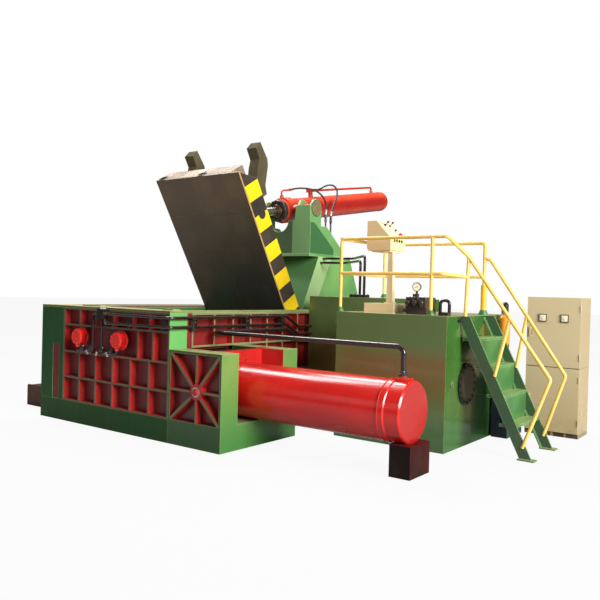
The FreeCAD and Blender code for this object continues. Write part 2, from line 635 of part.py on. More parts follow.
def side_housing():
    """Open-topped channel for the side ram, with the cross plate that its cylinder bolts to."""
    outer = block(box_right, 0, 0, S["housing_length"], S["housing_depth"], S["housing_height"])
    channel = block(box_right - PAST, S["lane_near"], lane_floor,
                    S["housing_length"] + PAST * 2, S["lane_width"], S["housing_height"])
    margin = S["panel_margin"]
    panel_low = S["base_height"] + S["panel_sill"]
    panel = block(box_right + margin, -PAST, panel_low, S["housing_length"] - margin * 2,
                  S["panel_depth"] + PAST, S["housing_height"] - margin - panel_low)
    plate = block(side_plate_x, S["lane_near"], lane_floor, S["cross_plate"], S["lane_width"],
                  S["housing_height"] - S["ram_gap"] * 2 - lane_floor)
    bore = drum("x", side_plate_x - PAST, side_axis_y, S["side_axis_z"],
                S["side_rod"] + S["bore_gap"], S["cross_plate"] + PAST * 2)
    node("side_housing", fused([cut(outer, [channel, panel]), cut(plate, [bore])]))


def housing_panel():
    """Ribs that run from the hub to the corners of the housing's near panel, and the hub's pin."""
    margin = S["panel_margin"]
    rib = S["rib_thick"]
    left = box_right + margin
    right = housing_end - margin
    low = S["base_height"] + S["panel_sill"]
    top = S["housing_height"] - margin
    hub_x = (left + right) / 2 + S["hub_right"]
    hub_z = (low + top) / 2 - S["hub_drop"]
    depth = S["panel_depth"]
    bars = [block(hub_x - rib / 2, 0, low, rib, depth, top - low),
            block(left, 0, hub_z - rib / 2, right - left, depth, rib)]
    half = rib / 2
    for corner_x, corner_z, way_x, way_z in (
            (left, low, 1, 1), (right, low, -1, 1), (right, top, -1, -1), (left, top, 1, -1)):
        lean = way_x * way_z
        end = [(corner_x + rib * way_x, corner_z), (corner_x, corner_z),
               (corner_x, corner_z + rib * way_z)]
        if way_x < 0:
            end.reverse()
        bars.append(plate_y(0, depth, [
            (hub_x - half, hub_z + half * lean), (hub_x + half, hub_z - half * lean)] + end))
    hub = drum("y", hub_x, 0, hub_z, S["hub_radius"], depth)
    radius = S["hub_pin"]
    length = S["hub_pin_length"]
    edge = S["hub_pin_edge"]
    pin = turned(hub_x, 0, hub_z, [
        (0, 0), (radius, 0), (radius, length - edge), (radius - edge, length), (0, length)],
        axis=(1, 0, 0), turn=90.0)
    node("panel_ribs", fused(bars + [hub, pin]))


def cylinder(along, place_of, barrel, bore, length, cap, cap_length, port_height):
    """A large cylinder: a barrel with its bore, a closed end with a flange ring, and a port."""
    x, y, z = place_of
    end = length + cap_length
    ring_end = length + S["cap_ring"]
    inner = cap - S["cap_step"]
    profile = [
        (bore, 0), (barrel, 0), (barrel, length), (cap, length), (cap, ring_end),
        (inner, ring_end + S["cap_slope"]), (inner, end - S["cap_edge"]),
        (inner - S["cap_edge"], end), (0, end), (0, length), (bore, length)]
    shell = turned(x, y, z, profile, along)
    root = cap - S["port_root"]
    reach = length + S["port_at"]
    port_x = x + reach if along == "x" else x
    port_y = y + reach if along == "y" else y
    port = drum("z", port_x, port_y, z + root, S["port_radius"], port_height - root)
    return fused([shell, port])


def saddle_foot(corner, size, seat):
    """A foot block with a round seat cut in its top."""
    return cut(block(*corner, *size), [seat])


def side_cylinder():
    """The side ram's cylinder behind its cross plate."""
    node("side_cylinder_barrel", cylinder(
        "x", (side_barrel_x, side_axis_y, S["side_axis_z"]), S["side_barrel"], S["side_bore"],
        S["side_barrel_length"], S["side_cap"], S["side_cap_length"], S["side_port"]))


def ram(name, axis, low_corner, size, rod_start, rod_length, rod_radius, piston_radius, centre):
    """A ram head, a welded box open at the back, with its rod and piston."""
    wall = S["ram_wall"]
    boss_radius = rod_radius + S["ram_boss"]
    boss_length = S["ram_boss_length"]
    x, y, z = low_corner
    length, width, height = size
    profile = rod_profile(rod_radius, piston_radius, rod_length)
    if axis == "x":
        hollow = block(x + wall, y + wall, z + wall, length, width - wall * 2, height - wall * 2)
        boss = drum("x", x + wall, centre[0], centre[1], boss_radius, boss_length)
        rod = turned(rod_start, centre[0], centre[1], profile, "x")
    else:
        hollow = block(x + wall, y + wall, z + wall, length - wall * 2, width, height - wall * 2)
        boss = drum("y", centre[0], y + wall, centre[1], boss_radius, boss_length)
        rod = turned(centre[0], rod_start, centre[1], profile, "y")
    node(name + "_head", fused([cut(block(*low_corner, *size), [hollow]), boss]))
    node(name + "_rod", rod)


def rod_profile(radius, piston, length):
    shoulder = length - S["piston_length"]
    return [(0, 0), (radius, 0), (radius, shoulder), (piston, shoulder), (piston, length),
            (0, length)]


def side_ram():
    x = chamber_right + S["head_rest"]
    size = (S["side_head_length"], S["lane_width"] - S["ram_gap"] * 2, head_height)
    start = x + S["rod_inset"]
    end = side_barrel_x + S["side_barrel_length"] - S["piston_rest"]
    ram("side_ram", "x", (x, S["lane_near"] + S["ram_gap"], head_low), size, start, end - start,
        S["side_rod"], S["side_bore"] - S["bore_gap"], (side_axis_y, S["side_axis_z"]))


# ---------------------------------------------------------------- main ram

ram_housing_end = S["box_depth"] + S["ram_housing_length"]
main_plate_y = S["box_depth"] + S["main_plate_at"]
main_barrel_y = main_plate_y + S["cross_plate"]


def main_ram_set():
    """Closed housing behind the box with its cross plate, the cylinder and ram, and both feet."""
    wall = S["ram_housing_wall"]
    left = S["throat_end"] - wall
    width = chamber_right - S["throat_end"]
    housing = block(left, S["box_depth"], 0, width + wall * 2, S["ram_housing_length"],
                    S["hinge_sill"])
    tunnel = block(S["throat_end"], S["box_depth"] - PAST, lane_floor, width,
                   S["ram_housing_length"] + PAST * 2, S["window_top"] - lane_floor)
    plate = block(S["throat_end"], main_plate_y, lane_floor, width, S["cross_plate"],
                  S["window_top"] - lane_floor)
    bore = drum("y", chamber_mid, main_plate_y - PAST, S["main_axis_z"],
                S["main_rod"] + S["bore_gap"], S["cross_plate"] + PAST * 2)
    node("main_housing", fused([cut(housing, [tunnel]), cut(plate, [bore])]))
    node("main_cylinder_barrel", cylinder(
        "y", (chamber_mid, main_barrel_y, S["main_axis_z"]), S["main_barrel"], S["main_bore"],
        S["main_barrel_length"], S["main_cap"], S["main_cap_length"], S["main_port"]))
    gap = S["ram_gap"] * 2
    head_y = chamber_back + S["head_rest"]
    size = (width - gap * 2, S["main_head_length"], S["window_top"] - gap - head_low)
    start = head_y + S["rod_inset"]
    end = main_barrel_y + S["main_barrel_length"] - S["piston_rest"]
    ram("main_ram", "y", (S["throat_end"] + gap, head_y, head_low), size, start, end - start,
        S["main_rod"], S["main_bore"] - S["bore_gap"], (chamber_mid, S["main_axis_z"]))


def cylinder_feet():
    """The blocks that carry the closed ends of both big cylinders."""
    side_x = side_barrel_x + S["side_barrel_length"] + S["side_foot_back"]
    width = S["side_foot_width"]
    side_seat = drum("x", side_x - PAST, side_axis_y, S["side_axis_z"],
                     S["side_cap"] - S["seat_depth"], S["side_foot_length"] + PAST * 2)
    side_foot = saddle_foot((side_x, side_axis_y - width / 2, 0),
                            (S["side_foot_length"], width, S["side_foot_height"]), side_seat)
    main_y = main_barrel_y + S["main_barrel_length"] + S["main_foot_back"]
    width = S["main_foot_width"]
    main_seat = drum("y", chamber_mid, main_y - PAST, S["main_axis_z"],
                     S["main_cap"] - S["seat_depth"], S["main_foot_length"] + PAST * 2)
    main_foot = saddle_foot((chamber_mid - width / 2, main_y, 0),
                            (width, S["main_foot_length"], S["main_foot_height"]), main_seat)
    node("cylinder_feet", grouped([side_foot, main_foot]))


# ---------------------------------------------------------------- lid

lid_left = S["throat_end"] + S["lid_gap"]
lid_right = chamber_right - S["lid_gap"]
lid_width = lid_right - lid_left
frame_low = -(S["lid_under"] - S["wear_plate"])
frame_top = -S["lid_top"]


def slope_at(height):
    """Place of the lid's slanted end, at a height measured from the hinge."""
    return -(S["lid_reach"] + (frame_top - height) * S["lid_slope"])


def lid_strip(x, thickness, near, far, low, high):
    return lid_plate(x, thickness, [(far, low), (near, low), (near, high), (far, high)])


def lid_point(y, z):
    """Place in Y and Z, with the lid open, of a point of the shut lid measured from the hinge."""
    swung_y = y * cosine(S["open_angle"]) + z * sine(S["open_angle"])
    swung_z = z * cosine(S["open_angle"]) - y * sine(S["open_angle"])
    return hinge_y + swung_y, S["hinge_z"] + swung_z


def lid_bore(x, y, z, radius, length):
    """A round tool along the shut lid's own Y."""
    cylinder = doc.addObject("Part::Cylinder", "bore")
    bind(cylinder, "Radius", radius)
    bind(cylinder, "Height", length)
    cylinder.Placement.Rotation = FreeCAD.Rotation(FreeCAD.Vector(1, 0, 0), -90.0)
    for name, size in (("x", x), ("y", y), ("z", z)):
        bind(cylinder, "Placement.Base." + name, size)
    return cylinder


rod_pin_y = S["swing_radius"] * cosine(S["rod_pin_angle"])
rod_pin_z = S["swing_radius"] * sine(S["rod_pin_angle"])


def lid():
    """Welded lid: side plates, floor, slanted end, ribs, and a top with a slot for the rod."""
    back = -S["lid_back"]
    skin = S["lid_skin"]
    side = [(slope_at(frame_low), frame_low), (back, frame_low), (back, frame_top),
            (slope_at(frame_top), frame_top)]
    bore = [(rod_pin_y, rod_pin_z, S["lid_pin"])]
    web = S["web_thick"]
    web_near = chamber_mid + S["web_spacing"] / 2
    web_far = chamber_mid - S["web_spacing"] / 2 - web
    pieces = [lid_plate(x, thick, side, bore) for x, thick in (
        (lid_left, skin), (lid_right - skin, skin), (web_near, web), (web_far, web))]
    plate = S["lid_plate"]
    pieces.append(lid_strip(lid_left, lid_width, back, slope_at(frame_low) + plate, frame_low,
                            frame_low + plate))
    slot_near = rod_pin_y + S["slot_near"]
    slot_far = rod_pin_y - S["slot_far"]
    roof = frame_top - plate
    end = S["lid_end"]
    for x, width, near, far in (
            (lid_left, web_far - lid_left, back, slope_at(frame_top)),
            (web_near, lid_right - web_near, back, slope_at(frame_top)),
            (web_far, web_near - web_far, back, slot_near),
            (web_far, web_near - web_far, slot_far, slope_at(frame_top))):
        pieces.append(lid_strip(x, width, near, far, roof, frame_top))
    pieces.append(lid_plate(lid_left, lid_width, [
        (slope_at(frame_low), frame_low), (slope_at(frame_low) + end, frame_low),
        (slope_at(frame_top) + end, frame_top), (slope_at(frame_top), frame_top)]))
    pieces.append(lid_strip(lid_left, lid_width, back, back - S["lid_rear"], frame_low,
                            frame_top))
    for share in (0.3, 0.65):
        at = back - (S["lid_reach"] - S["lid_back"]) * share
        for x, width in ((lid_left, web_far - lid_left), (web_near, lid_right - web_near)):
            pieces.append(lid_strip(x, width, at, at - S["lid_rib"], frame_low, frame_top))
    sockets = []
    for index in range(2):
        x = S["lock_first"] + S["lock_pitch"] * index
        z = S["lock_z"] - S["hinge_z"]
        sockets.append(lid_bore(x, slope_at(z) - S["socket_front"], z, S["socket"],
                                S["socket_length"]))
    node("lid_frame", swung_open(cut(fused(pieces), sockets)))


def lid_fittings():
    """Wear plates under the lid, hooks at its free end, hinge arms and the rod's pin."""
    low = -S["lid_under"]
    rows = 4
    gap = S["wear_gap"]
    length = (-slope_at(low) - S["lid_back"] - gap * (rows - 1)) / rows
    width = (lid_width - gap) / 2
    plates = []
    for row in range(rows):
        near = -S["lid_back"] - (length + gap) * row
        for column in range(2):
            x = lid_left + (width + gap) * column
            plates.append(lid_strip(x, width, near, near - length, low, frame_low))
    node("lid_wear_plates", swung_open(grouped(plates)))

    end = slope_at(frame_top)
    hook = [
        (end + S["hook_root"], frame_top), (end, frame_top), (end - S["hook_neck"], S["hook_low"]),
        (end - S["hook_knee"], S["hook_bend"]), (end - S["hook_chin"], S["hook_bend"]),
        (end - S["hook_tip"], S["hook_high"]), (end - S["hook_crown"], S["hook_top"]),
        (end - S["hook_nape"], S["hook_high"]), (end + S["hook_heel"], S["hook_rise"]),
        (end + S["hook_root"], S["hook_low"])]
    hooks = [lid_plate(x, S["hook_width"], hook)
             for x in (S["far_hook_at"], lid_right - S["hook_width"])]
    node("lid_hooks", swung_open(grouped(hooks)))

    back = -S["lid_back"]
    reach = S["knuckle"]
    face = S["knuckle_face"]
    waist = -S["arm_waist"]
    arm = [(back, frame_top), (-S["arm_flat"], reach), (0, reach), (face, face), (reach, 0),
           (face, -face), (0, -reach), (waist, waist), (back, -S["arm_root"])]
    arms = [lid_plate(x, S["knuckle_width"], arm, [(0, 0, S["hinge_pin"] + S["pin_gap"])])
            for x in knuckle_places()]
    node("lid_hinge_arms", swung_open(grouped(arms)))
    pin_y, pin_z = lid_point(rod_pin_y, rod_pin_z)
    node("lid_rod_pin", fused([
        drum("x", lid_left, pin_y, pin_z, S["lid_pin"], lid_width),
        drum("x", lid_left - S["pin_head_thick"], pin_y, pin_z, S["pin_head"], S["pin_head_thick"]),
        drum("x", lid_right, pin_y, pin_z, S["pin_head"], S["pin_head_thick"])]))


def knuckle_places():
    width = S["knuckle_width"]
    inset = S["knuckle_inset"]
    return [lid_left + inset, chamber_mid - width / 2, lid_right - inset - width]


def hinge():
    """Bracket pairs on the rear wall and the pin through them."""
    brackets = []
    reach = S["knuckle"]
    y = hinge_y
    z = S["hinge_z"]
    face = S["knuckle_face"]
    outline = [(y - reach, S["hinge_sill"]), (y + reach, S["hinge_sill"]), (y + reach, z),
               (y + face, z + face), (y, z + reach), (y - face, z + face), (y - reach, z)]
    for x in knuckle_places():
        for side_x in (x - S["bracket_width"] - S["bracket_gap"],
                       x + S["knuckle_width"] + S["bracket_gap"]):
            brackets.append(plate_x(side_x, S["bracket_width"], outline,
                                    [(y, z, S["hinge_pin"] + S["pin_gap"])]))
    node("hinge_brackets", grouped(brackets))
    first, middle, last = knuckle_places()
    over = S["bracket_gap"] + S["bracket_width"] + S["hinge_end"]
    node("hinge_pin", drum("x", first - over, y, z, S["hinge_pin"],
                           last + S["knuckle_width"] - first + over * 2))


# ---------------------------------------------------------------- lid cylinder

trunnion_y = hinge_y + S["swing_radius"] * cosine(S["trunnion_angle"])
trunnion_z = S["hinge_z"] + S["swing_radius"] * sine(S["trunnion_angle"])
rod_angle = S["rod_pin_angle"] - S["open_angle"]
open_pin_y = hinge_y + S["swing_radius"] * cosine(rod_angle)
open_pin_z = S["hinge_z"] + S["swing_radius"] * sine(rod_angle)
chord_angle = (rod_angle + S["trunnion_angle"]) / 2 - 90
chord = S["swing_radius"] * 2 * sine((rod_angle - S["trunnion_angle"]) / 2)


def lid_cylinder():
    """Barrel that swings on its trunnions, and the rod that turns on the lid's pin."""
    lean = chord_angle - 90
    bore = S["lid_bore"]
    outer = S["lid_barrel"]
    back = S["lid_barrel_back"]
    gland_face = -S["gland_front"]
    gland_back = gland_face + S["gland_length"]
    floor = back - S["barrel_end"]
    barrel = turned(chamber_mid, trunnion_y, trunnion_z, [
        (bore, gland_back), (outer, gland_back), (outer, back - S["dome"]),
        (outer - S["dome_shoulder"], back - S["dome_round"]), (outer - S["dome_flat"], back),
        (0, back), (0, floor), (bore, floor)], axis=(1, 0, 0), turn=lean)
    half = S["collar_half"]
    collar = turned(chamber_mid, trunnion_y, trunnion_z, ring_profile(
        outer - S["bore_gap"], outer + S["collar"], -half, half), axis=(1, 0, 0), turn=lean)
    reach = S["tower_half"]
    root = outer - PAST
    pins = [drum("x", x, trunnion_y, trunnion_z, S["trunnion_pin"], reach - root)
            for x in (chamber_mid + root, chamber_mid - reach)]
    node("lid_cylinder_barrel", fused([barrel, collar] + pins))
    rod_bore = S["lid_rod"] + S["bore_gap"]
    gland = outer - S["gland_skin"]
    node("lid_cylinder_gland", turned(chamber_mid, trunnion_y, trunnion_z, [
        (rod_bore, gland_face), (outer - S["gland_step"], gland_face),
        (gland, gland_face + S["gland_edge"]), (gland, gland_back), (rod_bore, gland_back)],
        axis=(1, 0, 0), turn=lean))
    end = chord + S["piston_back"]
    piston = bore - S["bore_gap"]
    piston_front = end - S["lid_piston"]
    rod_front = S["rod_eye"] / 2
    rod = turned(chamber_mid, open_pin_y, open_pin_z, [
        (0, rod_front), (S["lid_rod"], rod_front), (S["lid_rod"], piston_front),
        (piston, piston_front), (piston, end), (0, end)], axis=(1, 0, 0), turn=lean)
    eye_width = S["eye_width"]
    eye = drum("x", chamber_mid - eye_width / 2, open_pin_y, open_pin_z, S["rod_eye"], eye_width)
    eye_bore = drum("x", chamber_mid - eye_width / 2 - PAST, open_pin_y, open_pin_z,
                    S["lid_pin"] + S["pin_gap"], eye_width + PAST * 2)
    node("lid_cylinder_rod", cut(fused([rod, eye]), [eye_bore]))


# ---------------------------------------------------------------- tower

tower_right = chamber_mid + S["tower_half"]
tower_left = chamber_mid - S["tower_half"]
ear_y = hinge_y + S["ear_front"]
deck_low = S["deck_top"] - S["deck_thick"]


def mirrored_x(x, thickness):
    """The same plate on the other side of the tower's middle plane."""
    return chamber_mid * 2 - x - thickness


def ear(right):
    """One trunnion ear: a front plate, two cheeks with the trunnion bore, and a web behind."""
    cheek = S["cheek"]
    floor = S["deck_top"]
    y = ear_y + cheek
    back = ear_y + S["ear_depth"]
    boss_top = trunnion_z + S["trunnion_boss"]
    outline = [
        (y, floor), (back + S["ear_toe"], floor),
        (back + S["ear_toe"], S["web_top"] - S["toe_drop"]), (back, S["web_top"]),
        (back, trunnion_z), (back - S["ear_round"], trunnion_z + S["ear_crown"]),
        (trunnion_y, boss_top + S["brow_rise"]), (trunnion_y - S["ear_brow"], boss_top),
        (y, S["ear_top"])]
    bore = [(trunnion_y, trunnion_z, S["trunnion_pin"] + S["pin_gap"])]
    web_end = ear_y + S["web_back"]
    web = [(back, floor), (web_end, floor), (web_end, floor + S["web_low"]),
           (ear_y + S["web_shoulder"], floor + S["web_high"]), (back, floor + S["web_high"])]
    front = [(tower_right, floor), (tower_right, S["ear_top"]),
             (tower_right - S["ear_width_top"], S["ear_top"]),
             (tower_right - S["ear_width_low"], floor)]
    outer_x = tower_right - cheek
    inner_x = tower_right - S["ear_width_top"]
    web_x = tower_right - S["web_inset"]
    tie_x = inner_x
    if not right:
        front = [(chamber_mid * 2 - x, z) for x, z in front]
        outer_x = mirrored_x(outer_x, cheek)
        inner_x = mirrored_x(inner_x, cheek)
        web_x = mirrored_x(web_x, cheek)
        tie_x = outer_x
    tie_top = floor + S["tie_high"]
    tie = plate_x(tie_x, S["ear_width_top"], [
        (back - cheek, floor), (back, floor), (back, tie_top), (back - cheek, tie_top)])
    return [plate_x(outer_x, cheek, outline, bore), plate_x(inner_x, cheek, outline, bore),
            plate_x(web_x, cheek, web), plate_y(ear_y, cheek, front), tie]


def stand_side(front_low, front_top, back_low, back_top):
    """Outline in Y and Z of a sloping plate of the stand, from the lid's hinge line."""
    return [(hinge_y + front_low, S["hinge_sill"]), (hinge_y + back_low, S["hinge_sill"]),
            (hinge_y + back_top, deck_low), (hinge_y + front_top, deck_low)]


def tower_stand():
    """Stand on the ram housing: two sides, a front, a rear, and a strip on each front corner."""
    cheek = S["cheek"]
    flange = S["flange"]
    wall = S["stand_wall"]
    front_low, front_top = S["stand_front_low"], S["stand_front_top"]
    back_low, back_top = S["stand_back_low"], S["stand_back_top"]
    side = stand_side(front_low, front_top, back_low, back_top)
    front = stand_side(front_low, front_top, front_low + wall, front_top + wall)
    rear = stand_side(back_low - wall, back_top - wall, back_low, back_top)
    strip = stand_side(front_low, front_top, front_low + S["strip_low"],
                       front_top + S["strip_top"])
    inside = tower_left + cheek
    width = tower_right - tower_left - cheek * 2
    node("tower_stand", fused([
        plate_x(tower_left, cheek, side), plate_x(tower_right - cheek, cheek, side),
        plate_x(inside, width, front), plate_x(inside, width, rear),
        plate_x(tower_right, flange, strip), plate_x(tower_left - flange, flange, strip)]))


def trunnion_frame():
    """The stand's deck, the two ears and the notched plate between them."""
    cheek = S["cheek"]
    flange = S["flange"]
    floor = S["deck_top"]
    deck_y = ear_y - flange
    deck = block(tower_left - flange, deck_y, deck_low, tower_right - tower_left + flange * 2,
                 hinge_y + S["deck_back"] - deck_y, S["deck_thick"])
    low_ends = S["ear_width_low"]
    taper = (low_ends - S["ear_width_top"]) / (S["ear_top"] - floor)
    high_ends = low_ends - taper * (S["notch_z"] - floor)
    cross = plate_y(ear_y, cheek, [
        (tower_left + low_ends, floor), (tower_right - low_ends, floor),
        (tower_right - high_ends, S["notch_z"]), (tower_left + high_ends, S["notch_z"])])
    notch = drum("y", chamber_mid, ear_y - PAST, S["notch_z"], S["notch_radius"],
                 cheek + PAST * 2)
    high = floor + S["gusset_high"]
    back = ear_y + S["gusset_back"]
    gusset = [(ear_y, floor), (back, floor), (back, floor + S["gusset_low"]),
              (ear_y + S["gusset_front"], high), (ear_y, high)]
    gussets = [plate_x(tower_right, flange, gusset), plate_x(tower_left - flange, flange, gusset)]
    boss_bore = S["trunnion_pin"] + S["pin_gap"]
    rings = [turned(x, trunnion_y, trunnion_z,
                    ring_profile(boss_bore, S["trunnion_boss"], 0, flange), "x")
             for x in (tower_right, tower_left - flange)]
    node("trunnion_frame", fused(
        [deck, cut(cross, [notch])] + ear(True) + ear(False) + gussets + rings))


# ---------------------------------------------------------------- lid locks


lock_pipe_y = S["lock_boss_at"] - S["lock_front"]
lock_foot = S["lock_z"] - S["lock_cap"] - PAST * 2


def lid_locks():
    """Two small cylinders on the near face that push pins into sockets in the lid's free end."""
    front = -S["lock_front"]
    depth = rib_front + S["lock_front"]
    bore = S["lock_pin"] + S["lock_gap"]
    cap = S["lock_cap"]
    neck = S["lock_neck"]
    edge = S["lock_cap_edge"]
    floor = S["lock_floor"]
    profile = [
        (0, 0), (cap - edge, 0), (cap, edge), (cap, S["lock_cap_length"]),
        (neck + edge, S["lock_neck_at"] - edge), (neck, S["lock_neck_at"]), (neck, depth),
        (bore, depth), (bore, floor), (0, floor)]
    pin_start = front + floor + S["lock_rest"]
    pin_length = S["near_rim"] - S["lock_rest"] - pin_start
    pin = S["lock_pin"]
    pin_edge = S["cap_slope"]
    pin_profile = [(0, 0), (pin, 0), (pin, pin_length - pin_edge),
                   (pin - pin_edge, pin_length), (0, pin_length)]
    cylinders = []
    for index, label in enumerate(("lock_pin_left", "lock_pin_right")):
        x = S["lock_first"] + S["lock_pitch"] * index
        shell = turned(x, front, S["lock_z"], profile, "y")
        boss = drum("z", x, lock_pipe_y, lock_foot, S["lock_boss"], S["lock_boss_length"])
        cylinders.append(fused([shell, boss]))
        node(label, turned(x, pin_start, S["lock_z"], pin_profile, "y"))
    node("lock_cylinders", grouped(cylinders))


# ---------------------------------------------------------------- pipes and hoses

side_pipe_x = box_right + S["pipe_out"]
tank_x = box_right + S["tank_left"]
tank_y = S["box_depth"] - S["tank_forward"]
tank_right = tank_x + S["tank_length"]
rear_tank_x = box_right + S["rear_tank_gap"]
rear_tank_y = S["box_depth"] - S["rear_tank_forward"]


def lock_pipes():
    """Valve block on the near face and the two pipes that it feeds."""
    run = lock_foot - S["lock_pipe_low"]
    y = lock_pipe_y
    first = S["lock_first"]
    second = first + S["lock_pitch"]
    size = S["lock_valve"]
    block_x = S["lock_valve_x"]
    low = S["pipe_high"] - size / 2
    valve = block(block_x, -S["lock_valve_depth"], low, size, S["lock_valve_depth"], size)
    rise_x = block_x - S["lock_pipe_rise"]
    drop_x = block_x + S["lock_pipe_in"]
    left = [(first, y, lock_foot), (first, y, run), (rise_x, y, run), (rise_x, y, S["pipe_high"]),
            (block_x, y, S["pipe_high"])]
    right = [(second, y, lock_foot), (second, y, run), (drop_x, y, run), (drop_x, y, low)]
    return [valve] + [tube(route, S["thin_pipe"], S["thin_pipe"] * 2) for route in (left, right)]


def down_to_tank(x, z):
    """The end of a pipe's route: along the side wall, down, and into the rear tank."""
    low = z - S["pipe_drop"]
    return [(x, rear_tank_y - S["pipe_knee"], z), (x, rear_tank_y - S["pipe_drop_at"], low),
            (x, rear_tank_y, low)]


def wall_pipes():
    """Two pipes round the near face and the side wall, and the one that feeds the side cylinder."""
    out = -S["pipe_out"]
    upper = S["pipe_high"]
    lower = upper - S["pipe_pitch"]
    valve_right = S["lock_valve_x"] + S["lock_valve"]
    drop_x = valve_right - S["valve_drop"]
    wide_bend, tight_bend, thick_bend = 70.0, 40.0, 80.0
    starts = (([(valve_right, out, upper)], upper, wide_bend),
              ([(drop_x, out, upper - S["lock_valve"] / 2), (drop_x, out, lower)], lower,
               tight_bend))
    pipes = [tube(start + [(side_pipe_x, out, z)] + down_to_tank(side_pipe_x, z), S["pipe"], bend)
             for start, z, bend in starts]
    z = lower - S["thick_drop"]
    x = side_pipe_x + S["thick_out"]
    port_x = side_barrel_x + S["side_barrel_length"] + S["port_at"]
    pipes.append(tube([
        (port_x, side_axis_y, S["side_axis_z"] + S["side_port"]), (port_x, side_axis_y, z),
        (x, side_axis_y, z)] + down_to_tank(x, z), S["thick_pipe"], thick_bend))
    return pipes


def tower_pipes():
    """Pipe pair from the rear tank to the tower, and the two stubs that the hoses end on."""
    foot = S["rear_tank_height"]
    flange = block(rear_tank_x + S["tower_flange_x"], rear_tank_y + S["tower_flange_y"], foot,
                   S["tower_flange_length"], S["tower_flange_width"], S["tower_flange_height"])
    pipes = [flange]
    low = foot + S["tower_flange_height"]
    start_y = rear_tank_y + S["tower_pipe_y"]
    for index in range(2):
        shift = S["tower_pipe_pitch"] * index
        x = rear_tank_x + S["tower_pipe_x"] + shift
        y = hinge_y + S["tower_pipe_back"] + shift
        z = S["deck_top"] - S["tower_pipe_low"] + shift
        pipes.append(tube([
            (x, start_y, low), (x, start_y, z), (x - S["tower_pipe_run"], y, z),
            (tower_right + S["flange"], y, z)], S["pipe"], 70))
    length = S["fitting_length"]
    for x, y, z in (HOSE_FRONT[-1], HOSE_REAR[-1]):
        fitting_low = hose_z(z) - length
        pipes.append(drum("z", hose_x(x), hose_y(y), fitting_low, S["fitting"], length))
        pipes.append(drum("z", hose_x(x), hose_y(y), S["deck_top"], S["thin_pipe"],
                          fitting_low - S["deck_top"]))
    return pipes


def deck_pipes():
    """Feed pipe from the deck to the valves, a return bend and the pad beside it."""
    floor = S["tank_height"]
    x = tank_x + S["manifold_left"]
    y = tank_y + S["manifold_near"] + S["feed_y"]
    z = floor + S["feed_rise"]
    out_x = x - S["feed_out"]
    back_y = y + S["feed_back"]
    feed = tube([(x, y, z), (out_x, y, z), (out_x, back_y, z), (out_x, back_y, floor)],
                S["thick_pipe"], 40)
    left = tank_x + S["return_x"]
    right = left + S["return_pitch"]
    y = tank_y + S["return_y"]
    top = floor + S["return_rise"]
    bend = tube([(left, y, floor), (left, y, top), (right, y, top), (right, y, floor)],
                S["pipe"], 45)
    pad_block = block(tank_x + S["return_pad_x"], tank_y + S["return_pad_y"], floor,
                      S["return_pad_length"], S["return_pad_width"], S["return_pad_height"])
    return [feed, bend, pad_block]


def ram_pipes():
    """Pipes to the main cylinder and to the gate cylinder."""
    port_y = main_barrel_y + S["main_barrel_length"] + S["port_at"]
    port_z = S["main_axis_z"] + S["main_port"]
    high = S["hinge_sill"] - S["main_pipe_low"]
    side_x = chamber_mid + S["main_pipe_side"]
    main = tube([(chamber_mid, port_y, port_z), (chamber_mid, port_y, high),
                 (side_x, port_y, high), (side_x, ram_housing_end, high)], S["thick_pipe"], 80)
    gate_y = S["box_depth"] + S["gate_cylinder_length"] - S["gate_port_back"]
    gate_z = gate_axis_z + S["gate_cylinder"] + S["gate_port_rise"]
    top = gate_z + S["gate_pipe_rise"]
    side = tube([(gate_centre_x, gate_y, gate_z), (gate_centre_x, gate_y, top),
                 (gate_centre_x, S["box_depth"], top)], S["pipe"], 60)
    return [main, side]


def pipe_clamps():
    """Blocks that hold the pipes off the walls."""
    low = S["pipe_high"] - S["pipe_pitch"] - S["clamp_rise"]
    height = S["pipe_pitch"] + S["clamp_height"]
    depth = S["pipe_out"] - S["pipe"]
    first = box_right - S["clamp_right"]
    near = [block(x, -depth, low, S["clamp_width"], depth, height)
            for x in (first - S["clamp_pitch"], first)]
    side = [block(box_right, y, low, depth, S["side_clamp_width"], height)
            for y in (S["side_clamp_near"], S["side_clamp_mid"], S["side_clamp_far"])]
    return near + side


# Hose routes, from the swinging barrel to the stubs on the tower's deck: places measured across from
# the lid's middle plane, back from its hinge and up from it.
HOSE_FRONT = [
    (0, 586, 2038), (7, 702, 2072), (37, 844, 2102), (100, 987, 2109), (173, 1117, 2082),
    (240, 1192, 2009), (295, 1212, 1909), (340, 1182, 1814), (367, 1137, 1734), (375, 1117, 1664)]
HOSE_REAR = [
    (60, 1206, 2119), (58, 1312, 2134), (57, 1417, 2174), (70, 1512, 2226), (110, 1587, 2254),
    (170, 1624, 2244), (225, 1630, 2194), (267, 1604, 2114), (300, 1537, 2019),
    (325, 1447, 1919), (349, 1364, 1829), (367, 1297, 1744), (375, 1267, 1654)]


def hose_x(across):
    return chamber_mid + across


def hose_y(back):
    return hinge_y + back


def hose_z(rise):
    return S["hinge_z"] + rise


